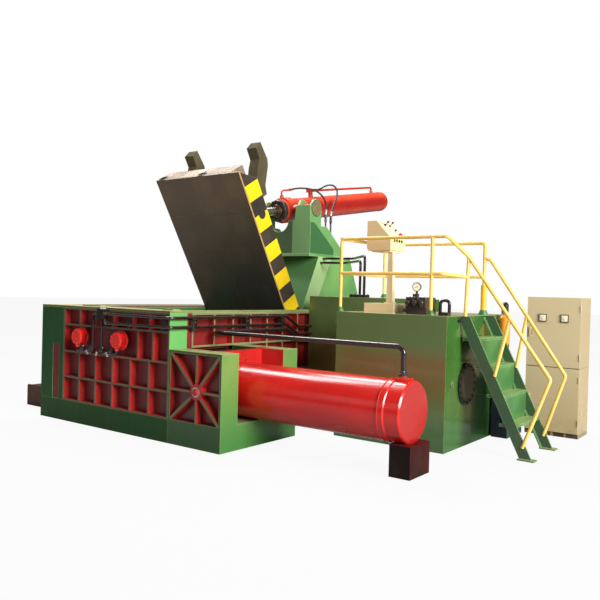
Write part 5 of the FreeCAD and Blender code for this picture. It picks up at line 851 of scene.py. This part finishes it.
def nut(radius, high, chamfer, low=0.0):
    """A hexagon nut about Z, between two heights."""
    return prism(hexagon(radius), low, high, chamfer)


def bolt(size):
    """A hexagon bolt head of a half-width on its washer."""
    washer = ring(0.0005, size * 1.35, 0.0, size * 0.22, 16)
    return joined(washer, nut(size, size * 0.95, size * 0.1, size * 0.2))


def weld(radius, steps=64):
    """A weld bead round Z."""
    bead = 0.007
    return spun([(radius - 0.004, -bead), (radius + bead * 0.45, -bead * 0.6),
                 (radius + bead * 0.75, 0.0), (radius + bead * 0.45, bead * 0.6),
                 (radius - 0.004, bead), (radius - 0.004, -bead)], steps)


def circle(centre, axis, radius, count, first=0.0):
    """Frames spaced round a circle, all looking along its axis."""
    middle = placed(centre, axis)
    return [middle @ Matrix.Rotation(first + math.tau * k / count, 4, "Z")
            @ Matrix.Translation((radius, 0.0, 0.0)) for k in range(count)]


def keep(name, shape, material, body="frame"):
    """Makes a bmesh a finished piece that rides on a body."""
    mesh = bpy.data.meshes.new(name)
    bmesh.ops.remove_doubles(shape, verts=shape.verts[:], dist=0.000001)
    bmesh.ops.recalc_face_normals(shape, faces=shape.faces[:])
    shape.to_mesh(mesh)
    shape.free()
    mesh.materials.append(material)
    for face in mesh.polygons:
        face.use_smooth = True
    mesh.set_sharp_from_angle(angle=math.radians(35.0))
    piece = bpy.data.objects.new(name, mesh)
    bpy.context.scene.collection.objects.link(piece)
    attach(piece, body)
    return piece


# ---------------------------------------------------------------- pipe clamps and fittings


def clamp_covers():
    """Black halves that close the side wall's three pipe clamps, each with three bolts."""
    back, front, width = 2540.0, 2584.0, 70.0
    blocks = []
    heads = []
    for y in (300.0, 1250.0, 2000.0):
        blocks.append(slab(spot(back, y, 1285.0), spot(front, y + width, 1470.0), 0.005))
        heads += [placed(spot(front, y + width / 2, z), RIGHT) for z in (1298.0, 1385.0, 1457.0)]
    keep("pipe_clamp_covers", joined(*blocks), BLACK)
    keep("pipe_clamp_bolts", copies(bolt(0.0095), heads), TURNED)


def pipe_nuts():
    """Union nuts where the pipes leave the lock valve block, and the plugs on its top."""
    pipe_y, block_side, block_top = -45.0, 1415.0, 1502.5
    union = joined(nut(0.031, 0.024, 0.003), ring(0.0192, 0.025, 0.022, 0.04))
    unions = [placed(spot(block_side, pipe_y, z), RIGHT) for z in (1440.0, 1330.0)]
    keep("valve_block_nuts", copies(union, unions), BLACK)
    plug = joined(nut(0.012, 0.012, 0.0015), ring(0.0005, 0.016, 0.0, 0.004))
    tops = [placed(spot(x, pipe_y, block_top), UP) for x in (1315.0, 1353.0, 1391.0)]
    keep("valve_block_plugs", copies(plug, tops), SILVER)


def lock_fittings():
    """Bright nuts and black tees on the small pipes under the lid locks."""
    fitting = joined(nut(0.024, 0.022, 0.003), ring(0.0005, 0.018, 0.02, 0.05),
                     nut(0.017, 0.062, 0.002, 0.045))
    leans = [placed(spot(x, -46.0, 968.0), (lean, 0.0, -1.0))
             for x, lean in ((1047.0, 0.7), (1270.0, -0.6), (1440.0, 0.6))]
    keep("lock_pipe_fittings", copies(fitting, leans), SILVER)
    tee = joined(slab((-0.03, -0.02, -0.022), (0.03, 0.026, 0.022), 0.004),
                 nut(0.02, 0.036, 0.002, 0.02))
    tees = [placed(spot(x, -40.0, 990.0), UP) for x in (960.0, 1135.0, 1350.0, 1530.0)]
    keep("lock_pipe_tees", copies(tee, tees), BLACK)


def lock_trim():
    """A bolted flange ring round each lock cylinder's cap."""
    flange, cap, height = 34.0, -69.5, 1125.0
    rings = [placed(spot(x, flange, height), NEAR) for x in LOCKS]
    keep("lock_flanges", copies(ring(0.104, 0.122, 0.0, 0.016, 40), rings), LOCK_RED)
    heads = [head for x in LOCKS for head in circle(spot(x, cap, height), NEAR, 0.082, 8, 0.2)]
    keep("lock_cap_screws", copies(bolt(0.008), heads), LOCK_RED)


# ---------------------------------------------------------------- cylinders


def side_cylinder_trim():
    """Weld beads, the port's bolted block and collar, and the bolts of the end plate."""
    y, z, port, half, port_top = 675.0, 618.0, 5170.0, 78.0, 952.0
    beads = [copies(weld(radius), [placed(spot(x, y, z), RIGHT)])
             for x, radius in ((3004.0, 0.318), (5060.0, 0.327), (5120.0, 0.3155))]
    keep("side_cylinder_welds", joined(*beads), SIDE_RED)
    block = slab(spot(port - half, y - half, 905.0), spot(port + half, y + half, port_top), 0.006)
    keep("side_port_block", block, SIDE_RED)
    corners = [placed(spot(port + a, y + b, port_top), UP) for a in (-58.0, 58.0) for b in (-58.0, 58.0)]
    keep("side_port_screws", copies(bolt(0.010), corners), BLACK)
    collar = joined(ring(0.027, 0.044, 0.0, 0.03), nut(0.040, 0.052, 0.003, 0.028))
    keep("side_port_collar", copies(collar, [placed(spot(port, y, port_top + 14.0), UP)]), BLACK)
    # the lowest bolts of the ring would stand below the plate
    plate_foot = 0.31
    heads = [head for head in circle(spot(3000.0, y, z), RIGHT, 0.352, 16, 0.1)
             if head.translation.z > plate_foot]
    keep("side_plate_bolts", copies(bolt(0.016), heads), SIDE_RED)


def main_cylinder_trim():
    """Weld beads on the main cylinder, which runs to the back."""
    beads = [copies(weld(radius), [placed(spot(1555.0, y, 680.0), FAR)])
             for y, radius in ((5430.0, 0.290), (5371.0, 0.290), (5490.0, 0.298))]
    keep("main_cylinder_welds", joined(*beads), SIDE_RED)


def gate_cylinder_bolts():
    """Eight bolts through the gate cylinder's flange."""
    heads = circle(spot(327.5, 2973.0, 667.5), FAR, 0.092, 8, 0.2)
    keep("gate_flange_bolts", copies(bolt(0.009), heads), BLACK)


def trunnion_caps():
    """Brown end plates over the trunnion pins, held by eight bolts each."""
    low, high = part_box("trunnion_frame")
    plates = []
    heads = []
    for x, way in ((high.x, RIGHT), (low.x, -RIGHT)):
        centre = Vector((x, TRUNNION.y, TRUNNION.z))
        plates.append(placed(centre, way))
        heads += circle(centre + way * 0.010, way, 0.094, 8, 0.3)
    cap = spun([(0.0, 0.0), (0.116, 0.0), (0.116, 0.008), (0.112, 0.012), (0.05, 0.012),
                (0.046, 0.018), (0.0, 0.018)], 40)
    keep("trunnion_end_plates", copies(cap, plates), PIN_CAP)
    keep("trunnion_plate_bolts", copies(bolt(0.010), heads), PIN_CAP)


def gland_bolts():
    """Twelve bolts in the lid cylinder's gland, and the wiper ring round its rod."""
    front = TRUNNION - BARREL_AXIS * 0.2225
    heads = circle(front, -BARREL_AXIS, 0.160, 12)
    keep("gland_bolts", copies(bolt(0.014), heads), GLAND_BLACK, "lid_barrel")
    wiper = ring(0.069, 0.100, 0.0, 0.016, 40)
    keep("gland_wiper", copies(wiper, [placed(front, -BARREL_AXIS)]), BRASS, "lid_barrel")


def barrel_welds():
    """Weld beads on the lid cylinder: at its collar and at the start of its domed end."""
    beads = [placed(TRUNNION + BARREL_AXIS * along, BARREL_AXIS) for along in (2.986, -0.146, 0.152)]
    keep("lid_cylinder_welds", copies(weld(0.183, 56), beads), LID_RED, "lid_barrel")


# ---------------------------------------------------------------- platform, desk and cabinet

DESK_CORNER = spot(4275.0, 1950.0, 2474.0)
PANEL_UP = Vector((-0.687, 0.0, 0.7266))
PANEL_OUT = Vector((0.7266, 0.0, 0.687))
PANEL_SHEET = 0.002


def rail_feet():
    """Green cones where the rail's posts meet the decks, and a wider one under its sleeve."""
    pipe, sleeve = 0.0215, 0.0365
    cone = joined(spun([(pipe, 0.009), (0.046, 0.009), (0.040, 0.026), (0.0235, 0.062),
                        (pipe, 0.062), (pipe, 0.009)], 28),
                  slab((-0.03, -0.03, 0.0), (0.03, 0.03, 0.001), 0.0))
    posts = ((3690.0, 1760.0, 1550.0), (4926.0, 1760.0, 1550.0), (3690.0, 2850.0, 1725.0))
    keep("rail_foot_cones", copies(cone, [placed(spot(*post), UP) for post in posts]), STAIR_GREEN)
    wide = spun([(sleeve, 0.0), (0.066, 0.0), (0.058, 0.02), (0.038, 0.07), (sleeve, 0.07),
                 (sleeve, 0.0)], 28)
    keep("rail_sleeve_foot", copies(wide, [placed(spot(5120.0, 2850.0, 1550.0), UP)]), STAIR_GREEN)


def on_panel(along, up, roll=0.0):
    """A frame that stands out of the desk's panel sheet, from the panel's lower near corner."""
    place = DESK_CORNER + PANEL_UP * up + FAR * along
    return placed(place + PANEL_OUT * PANEL_SHEET, PANEL_OUT, roll)


def desk_panel():
    """The desk's sloping panel: its sheet and screws, five lamps and a selector knob."""
    sheet = prism(rectangle(0.022, 0.020, 0.348, 0.277), 0.0, PANEL_SHEET, 0.0006)
    tilt = Matrix((FAR, PANEL_UP, PANEL_OUT)).transposed().to_4x4()
    keep("desk_panel_sheet", copies(sheet, [Matrix.Translation(DESK_CORNER) @ tilt]), PANEL_CREAM)
    screws = [on_panel(along, up) for up in (0.030, 0.267) for along in (0.032, 0.185, 0.338)]
    keep("desk_panel_screws", copies(bolt(0.0035), screws), SILVER)
    places = [on_panel(0.075 + 0.055 * k, 0.246) for k in range(len(LAMPS))]
    keep("desk_lamp_rings", copies(ring(0.0096, 0.013, 0.0, 0.004), places), SILVER)
    for number, (place, paint) in enumerate(zip(places, LAMPS), 1):
        dome = spun([(0.0, 0.0155), (0.005, 0.014), (0.0085, 0.010), (0.0095, 0.004), (0.0095, 0.0),
                     (0.0, 0.0)], 20)
        keep("desk_lamp_%d" % number, copies(dome, [place]), paint)
    body = spun([(0.0, 0.02), (0.010, 0.02), (0.0125, 0.016), (0.0135, 0.004), (0.0, 0.004)], 20)
    grip = slab((-0.0025, -0.013, 0.018), (0.0025, 0.013, 0.024), 0.001)
    knob = joined(ring(0.0005, 0.017, 0.0, 0.004), body, grip)
    keep("desk_selector_knobs", copies(knob, [on_panel(0.290, 0.150, 0.5)]), VALVE_BLACK)


def desk_trim():
    """Rings round the desk's buttons, the flanges of its box and post, and the hatch in its foot."""
    rings = []
    for number in (1, 2, 3, 4):
        low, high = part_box("desk_button_%d" % number)
        middle = (low + high) / 2
        rings.append(placed(Vector((DESK_CORNER.x, middle.y, middle.z)), RIGHT))
    keep("desk_button_rings", copies(ring(0.0158, 0.0215, 0.0, 0.005, 28), rings), VALVE_BLACK)
    flange = slab(spot(3952.0, 1963.0, 2321.0), spot(4262.0, 2307.0, 2325.5), 0.001)
    keep("desk_bottom_flange", flange, STAND_CREAM)
    thick = 0.008
    plate = prism(rectangle(-0.062, -0.05, 0.062, 0.05), 0.0, thick, 0.002)
    corners = [Matrix.Translation((a, b, thick)) for a in (-0.052, 0.052) for b in (-0.041, 0.041)]
    collar = joined(plate, copies(bolt(0.007), corners))
    foot = Matrix.Translation(spot(4208.0, 2105.0, 1668.0))
    keep("desk_post_flange", copies(collar, [foot]), STAND_CREAM)
    hatch_front = 4335.0
    hatch = slab(spot(hatch_front - 2.5, 1975.0, 1566.0), spot(hatch_front, 2235.0, 1652.0), 0.0008)
    keep("desk_base_hatch", hatch, STAND_CREAM)
    screws = [placed(spot(hatch_front, y, z), RIGHT) for y in (1985.0, 2225.0) for z in (1575.0, 1643.0)]
    keep("desk_hatch_screws", copies(bolt(0.004), screws), SILVER)


def gauge_face():
    """Cream dial with ticks, a needle and a bright rim."""
    turn = math.radians(20.0)
    way = Vector((math.sin(turn), -math.cos(turn), 0.0))
    middle = placed(spot(4618.0, 2010.0, 1879.0) + way * 0.0172, way)
    dial = spun([(0.0, 0.0), (0.0465, 0.0), (0.0465, 0.0012), (0.0, 0.0012)], 40)
    keep("gauge_dial", copies(dial, [middle]), DIAL_CREAM)
    ticks = []
    tick_end = 0.0435
    for k in range(25):
        long_one = k % 4 == 0
        length = 0.008 if long_one else 0.005
        half = 0.0009 if long_one else 0.0005
        tick = prism(pointer(half, tick_end - length, half, tick_end), 0.001, 0.0018)
        angle = math.radians(135.0 - 11.25 * k)
        ticks.append(copies(tick, [middle @ Matrix.Rotation(angle, 4, "Z")]))
    keep("gauge_ticks", joined(*ticks), VALVE_BLACK)
    needle = joined(prism(pointer(0.003, -0.010, 0.0006, 0.034), 0.0022, 0.003),
                    ring(0.0003, 0.005, 0.0012, 0.0045))
    reading = Matrix.Rotation(math.radians(110.0), 4, "Z")
    keep("gauge_needle", copies(needle, [middle @ reading]), VALVE_BLACK)
    rim = spun([(0.0470, 0.0005), (0.0525, 0.0005), (0.0545, 0.004), (0.0545, 0.0075), (0.0500, 0.0085),
                (0.0470, 0.0065), (0.0470, 0.0005)], 44)
    keep("gauge_rim", copies(rim, [middle]), BRASS)


def valve_trim():
    """Solenoid coils with their plugs on both sides of the valve bank, and the screws on its top."""
    coil = spun([(0.0, 0.0), (0.026, 0.0), (0.028, 0.004), (0.028, 0.046), (0.024, 0.05),
                 (0.012, 0.05), (0.011, 0.062), (0.0, 0.062)])
    plug = slab((-0.014, -0.044, 0.010), (0.014, -0.026, 0.040), 0.003)
    sections = [4550.0 + 90.0 * k for k in range(3)]
    coils = [placed(spot(x, y, 1690.0), way) for x in sections for y, way in ((1936.0, NEAR), (2214.0, FAR))]
    keep("valve_coils", copies(joined(coil, plug), coils), VALVE_BLACK)
    heads = [placed(spot(x + a, y, 1755.5), UP) for x in sections for a in (-24.0, 24.0)
             for y in (2015.0, 2135.0)]
    keep("valve_screws", copies(bolt(0.007), heads), SILVER)


def meters():
    """Two square panel meters on the cabinet's upper door, with scales and needles."""
    for number, x in ((1, 5615.0), (2, 5892.0)):
        middle = placed(spot(x, 3656.5, 1530.0), NEAR)
        bezel = prism(rectangle(-0.052, -0.052, 0.052, 0.052), 0.0, 0.012, 0.003)
        keep("meter_bezel_%d" % number, copies(bezel, [middle]), METER_FRAME, "upper_door")
        plate = prism(rectangle(-0.038, -0.038, 0.038, 0.038), 0.0118, 0.0132, 0.0005)
        keep("meter_face_%d" % number, copies(plate, [middle]), DIAL_CREAM, "upper_door")
        pivot = middle @ Matrix.Translation((0.0, -0.026, 0.0))
        marks = []
        for k in range(11):
            mark = prism(pointer(0.0006, 0.044, 0.0006, 0.050), 0.0131, 0.0138)
            angle = math.radians(-45.0 + 9.0 * k)
            marks.append(copies(mark, [pivot @ Matrix.Rotation(angle, 4, "Z")]))
        needle = prism(pointer(0.0012, 0.0, 0.0005, 0.042), 0.0131, 0.0142)
        reading = Matrix.Rotation(math.radians(38.0), 4, "Z")
        marks.append(copies(needle, [pivot @ reading]))
        keep("meter_marks_%d" % number, joined(*marks), VALVE_BLACK, "upper_door")


def cabinet_trim():
    """Vent slats low on the cabinet's side, and the lock plate of its upper door."""
    bottoms = [240.0 + 34.0 * k for k in range(8)]
    slats = [slab(spot(6088.5, 3780.0, z), spot(6094.5, 4030.0, z + 22.0), 0.0015) for z in bottoms]
    keep("cabinet_side_slats", joined(*slats), CABINET_BEIGE)
    plate = slab(spot(5452.0, 3652.5, 1300.0), spot(5482.0, 3657.5, 1385.0), 0.0012)
    keep("cabinet_lock_plate", plate, METER_FRAME, "upper_door")


# ---------------------------------------------------------------- power unit


def motor_trim():
    """Cooling fins, fan grille and flange bolts of the pump motor."""
    x, z, body_end, fan_end, flange = 5285.0, 640.0, 3080.0, 3046.0, 3452.0
    fin = slab((0.100, -0.002, 0.0), (0.1145, 0.002, 0.300), 0.0008)
    middle = placed(spot(x, body_end, z), FAR)
    # no fins where the terminal box stands
    turns = [middle @ Matrix.Rotation(math.tau * k / 36, 4, "Z") for k in range(36) if not 6 <= k <= 11]
    keep("motor_fins", copies(fin, turns), MOTOR_BLUE)
    fan = placed(spot(x, fan_end, z), FAR)
    rings = [copies(ring(radius, radius + 0.005, 0.0, 0.006, 32), [fan])
             for radius in (0.025, 0.045, 0.065, 0.085)]
    keep("motor_fan_grille", joined(*rings), MOTOR_BLUE)
    heads = circle(spot(x, flange, z), FAR, 0.086, 6)
    keep("motor_flange_bolts", copies(bolt(0.008), heads), TURNED)


def tank_trim():
    """The drain and a plug on the platform tank's right-hand side, and the rear tank's breather."""
    tank_side = 5150.0
    drain = joined(ring(0.022, 0.042, 0.0, 0.010, 32), nut(0.020, 0.020, 0.002))
    keep("tank_drain", copies(drain, [placed(spot(tank_side, 1897.0, 767.0), RIGHT)]), DRAIN_PAINT)
    plug = joined(ring(0.0005, 0.030, 0.0, 0.008), nut(0.017, 0.024, 0.002, 0.006))
    keep("tank_side_plug", copies(plug, [placed(spot(tank_side, 2030.0, 1500.0), RIGHT)]), BLACK)
    cap = spun([(0.0, 0.075), (0.040, 0.075), (0.046, 0.069), (0.046, 0.02), (0.058, 0.014),
                (0.058, 0.0), (0.0, 0.0)], 36)
    keep("tank_breather", copies(cap, [placed(spot(3900.0, 3400.0, 1725.0), UP)]), BLACK)


def flange_bolts():
    """Bolts of the tower pipes' flange block and of the return pipe's pad."""
    heads = [placed(spot(x, y, 1765.0), UP) for x in (3128.0, 3275.0, 3342.0) for y in (2897.0, 3003.0)]
    keep("tower_flange_bolts", copies(bolt(0.010), heads), BLACK)


def stair_risers():
    """Closed risers under the front edges of the upper three treads."""
    deck, stair_top, stair_run = 1550.0, 5268.0, 758.0
    first_tread, rise, near, far = 1300.0, 312.0, 2084.0, 2846.0
    sheets = []
    for step in range(3):
        top = first_tread - rise * step
        edge = stair_top + (deck - top) * stair_run / deck
        sheets.append(slab(spot(edge - 9.0, near, top - 314.0), spot(edge - 3.0, far, top - 4.0), 0.001))
    keep("stair_risers", joined(*sheets), RISER_GREEN)


# ---------------------------------------------------------------- lid and box


def hub_ring():
    """Pale washer round the pin of the panel's hub."""
    keep("hub_washer", copies(ring(0.0385, 0.058, 0.0, 0.006, 36), [placed(HUB, NEAR)]), SILVER)


def on_lid(x, along, deep):
    """A place given across the machine, along the lid from its hinge, and above its middle."""
    across = spot(x, 0.0, 0.0).x - LID_HINGE.x
    return LID_HINGE + RIGHT * across + LID_AXIS * along + LID_UP * deep


def beam_part(left, right, low, high):
    """A length of the lid's end beam between two depths, from the slanted end to the square one."""
    near_low, near_high = [LID_SLANT - LID_LEAN * deep - BEAM_LAP for deep in (low, high)]
    outline = [(near_low, low), (LID_REACH, low), (LID_REACH, high), (near_high, high)]
    tilt = Matrix((LID_AXIS, LID_UP, RIGHT)).transposed().to_4x4()
    shape = prism(outline, 0.0, (right - left) / 1000.0, 0.002)
    return copies(shape, [Matrix.Translation(on_lid(left, 0.0, 0.0)) @ tilt])


def lid_trim():
    """Square end beam over the lid's slanted end, with a socket where each of the two lock pins enters."""
    half = PIN_HOLE * 1000.0
    parts = []
    left = BEAM_LEFT
    for pin in LOCKS:
        parts.append(beam_part(left, pin - half, BEAM_LOW, BEAM_HIGH))
        parts.append(beam_part(pin - half, pin + half, BEAM_LOW, LOCK_DEEP - PIN_HOLE))
        parts.append(beam_part(pin - half, pin + half, LOCK_DEEP + PIN_HOLE, BEAM_HIGH))
        left = pin + half
    parts.append(beam_part(left, BEAM_RIGHT, BEAM_LOW, BEAM_HIGH))
    keep("lid_end_beam", joined(*parts), BEAM_STEEL, "lid")
    places = [placed(on_lid(pin, LID_REACH, LOCK_DEEP), LID_AXIS) for pin in LOCKS]
    socket = ring(PIN_HOLE, PIN_HOLE + 0.022, -0.002, 0.008, 36)
    keep("lock_sockets", copies(socket, places), GLAND_BLACK, "lid")


def table_trim():
    """Edge bars welded along the discharge table."""
    bars = [slab(spot(-899.0, y, 290.5), spot(-2.0, y + 30.0, 300.0), 0.002) for y in (362.0, 968.0)]
    keep("table_edge_bars", joined(*bars), TABLE_STEEL)


for build in (clamp_covers, pipe_nuts, lock_fittings, lock_trim, side_cylinder_trim,
              main_cylinder_trim, gate_cylinder_bolts, trunnion_caps, gland_bolts, barrel_welds,
              rail_feet, desk_panel, desk_trim, gauge_face, valve_trim, meters, cabinet_trim, motor_trim,
              tank_trim, stair_risers, hub_ring, flange_bolts, lid_trim, table_trim):
    build()


# ---------------------------------------------------------------- hoses

# Both hoses run from the lid's cylinder down to the tower, in the layout's millimetres.
HOSE_RADIUS = 0.015
HOSE_FRONT = [
    (1555, 3414, 3434), (1562, 3530, 3468), (1592, 3672, 3498), (1655, 3815, 3505),
    (1728, 3945, 3478), (1795, 4020, 3405), (1850, 4040, 3305), (1895, 4010, 3210),
    (1922, 3965, 3130), (1930, 3945, 3060)]
HOSE_REAR = [
    (1615, 4034, 3515), (1613, 4140, 3530), (1612, 4245, 3570), (1625, 4340, 3622),
    (1665, 4415, 3650), (1725, 4452, 3640), (1780, 4458, 3590), (1822, 4432, 3510),
    (1855, 4365, 3415), (1880, 4275, 3315), (1904, 4192, 3225), (1922, 4125, 3140),
    (1930, 4095, 3050)]


def hose_line(name, points):
    """A smooth spline with a hose's points as its control points."""
    curve = bpy.data.curves.new(name, "CURVE")
    curve.dimensions = "3D"
    curve.resolution_u = 12
    line = curve.splines.new("NURBS")
    line.points.add(len(points) - 1)
    for control, point in zip(line.points, points):
        control.co = (*spot(*point), 1.0)
    line.order_u = 3
    line.use_endpoint_u = True
    return curve


def ferrule(name, place, axis, material, body):
    """A crimped sleeve on its nut, at a hose's end."""
    crimp = [(0.0152, 0.022), (0.0195, 0.022)]
    for k in range(6):
        low = 0.026 + 0.012 * k
        crimp += [(0.0205, low), (0.0205, low + 0.006), (0.0192, low + 0.009)]
    crimp += [(0.0185, 0.100), (0.0152, 0.102), (0.0152, 0.022)]
    whole = joined(spun(crimp), nut(0.0235, 0.022, 0.002))
    return keep(name, copies(whole, [placed(place, axis)]), material, body)


def hose_piece(name, points):
    """A hose as a mesh tube, and its two ferrules."""
    bare = bpy.data.objects.new(name + "_line", hose_line(name + "_line", points))
    bpy.context.scene.collection.objects.link(bare)
    bpy.context.view_layer.update()
    traced = bpy.data.meshes.new_from_object(bare)
    path = [vertex.co.copy() for vertex in traced.vertices]
    bpy.data.meshes.remove(traced)
    bare.data.bevel_depth = HOSE_RADIUS
    bare.data.bevel_resolution = 3
    bare.data.use_fill_caps = True
    bpy.context.view_layer.update()
    mesh = bpy.data.meshes.new_from_object(bare)
    bpy.data.objects.remove(bare)
    mesh.materials.clear()
    mesh.materials.append(HOSE_RUBBER)
    for face in mesh.polygons:
        face.use_smooth = True
    hose = bpy.data.objects.new(name, mesh)
    bpy.context.scene.collection.objects.link(hose)
    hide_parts("barrel_hoses")
    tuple(path[-1])
    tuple(path[0])
    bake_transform(hose)
    length = sum((b - a).length for a, b in zip(path, path[1:]))
    top = ferrule(name + "_top_ferrule", path[0], path[1] - path[0], BRASS, "lid_barrel")
    foot = ferrule(name + "_foot_ferrule", path[-1], path[-2] - path[-1], SILVER, "frame")
    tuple(path[0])


hose_piece("front_hose", HOSE_FRONT)
hose_piece("rear_hose", HOSE_REAR)


# ---------------------------------------------------------------- room, lights and camera

WHITE = (1.0, 1.0, 1.0, 1.0)


def make_floor():
    """A pale floor: white where the camera sees it lit, a little darker in the machine's shadow."""
    shape = bmesh.new()
    bmesh.ops.create_grid(shape, x_segments=1, y_segments=1, size=80.0)
    mesh = bpy.data.meshes.new("floor")
    shape.to_mesh(mesh)
    shape.free()
    floor = bpy.data.objects.new("floor", mesh)
    bpy.context.scene.collection.objects.link(floor)
    pale = Finish("pale_floor")
    mesh.materials.append(pale.finish_with((0.48, 0.48, 0.48, 1.0), 0.9))
    seen = pale.node("ShaderNodeLightPath", output="Is Camera Ray") * 0.93
    glow = pale.node("ShaderNodeEmission", inputs={"Color": WHITE, "Strength": 1.0})
    lit = Socket(pale, pale.shader.outputs[0])
    blend = pale.node("ShaderNodeMixShader", inputs={0: seen, 1: lit, 2: glow})
    pale.feed(pale.tree.nodes["Material Output"].inputs["Surface"], blend)


def make_world():
    """Plain white surroundings: full white to the camera, softer as a light."""
    world = bpy.data.worlds.new("studio")
    bpy.context.scene.world = world
    world.use_nodes = True
    sky = Nodes(world.node_tree)
    background = sky.tree.nodes["Background"]
    seen = sky.node("ShaderNodeLightPath", output="Is Camera Ray")
    level = sky.node("ShaderNodeMix", {"data_type": "FLOAT"}, {0: seen, 2: 0.16, 3: 1.0})
    sky.feed(background.inputs["Color"], WHITE)
    sky.feed(background.inputs["Strength"], level)


def area_light(name, place, target, size, power):
    """A soft rectangular lamp that looks at a target."""
    lamp = bpy.data.lights.new(name, "AREA")
    lamp.shape = "RECTANGLE"
    lamp.size, lamp.size_y = size
    lamp.energy = power
    light = bpy.data.objects.new(name, lamp)
    bpy.context.scene.collection.objects.link(light)
    light.location = place
    light.rotation_mode = "QUATERNION"
    light.rotation_quaternion = (Vector(target) - Vector(place)).to_track_quat("-Z", "Y")


def make_camera():
    """The photograph's camera, solved from the machine's own edges."""
    place = (7.1465, -6.940, 1.782)
    azimuth = math.radians(36.48)
    elevation = math.radians(0.68)
    roll = math.radians(1.56)
    back = Vector((math.sin(azimuth) * math.cos(elevation), -math.cos(azimuth) * math.cos(elevation),
                   math.sin(elevation)))
    side = UP.cross(back).normalized()
    top = back.cross(side)
    across = side * math.cos(roll) + top * math.sin(roll)
    upward = top * math.cos(roll) - side * math.sin(roll)
    lens = bpy.data.cameras.new("camera")
    lens.lens = 41.27
    lens.sensor_width = 36.0
    camera = bpy.data.objects.new("camera", lens)
    bpy.context.scene.collection.objects.link(camera)
    turn = Matrix((across, upward, back)).transposed().to_4x4()
    camera.matrix_world = Matrix.Translation(place) @ turn
    bpy.context.scene.camera = camera


make_floor()
make_world()
area_light("key", (22.0, -5.0, 9.0), (1.5, 0.5, 1.2), (9.0, 9.0), 7600.0)
area_light("top", (-2.5, 2.5, 9.5), (1.0, 0.0, 1.0), (8.0, 3.5), 1200.0)
area_light("front", (-3.0, -14.0, 6.0), (0.5, 0.0, 1.0), (8.0, 5.0), 90.0)
make_camera()
bpy.context.scene.view_settings.view_transform = "Standard"
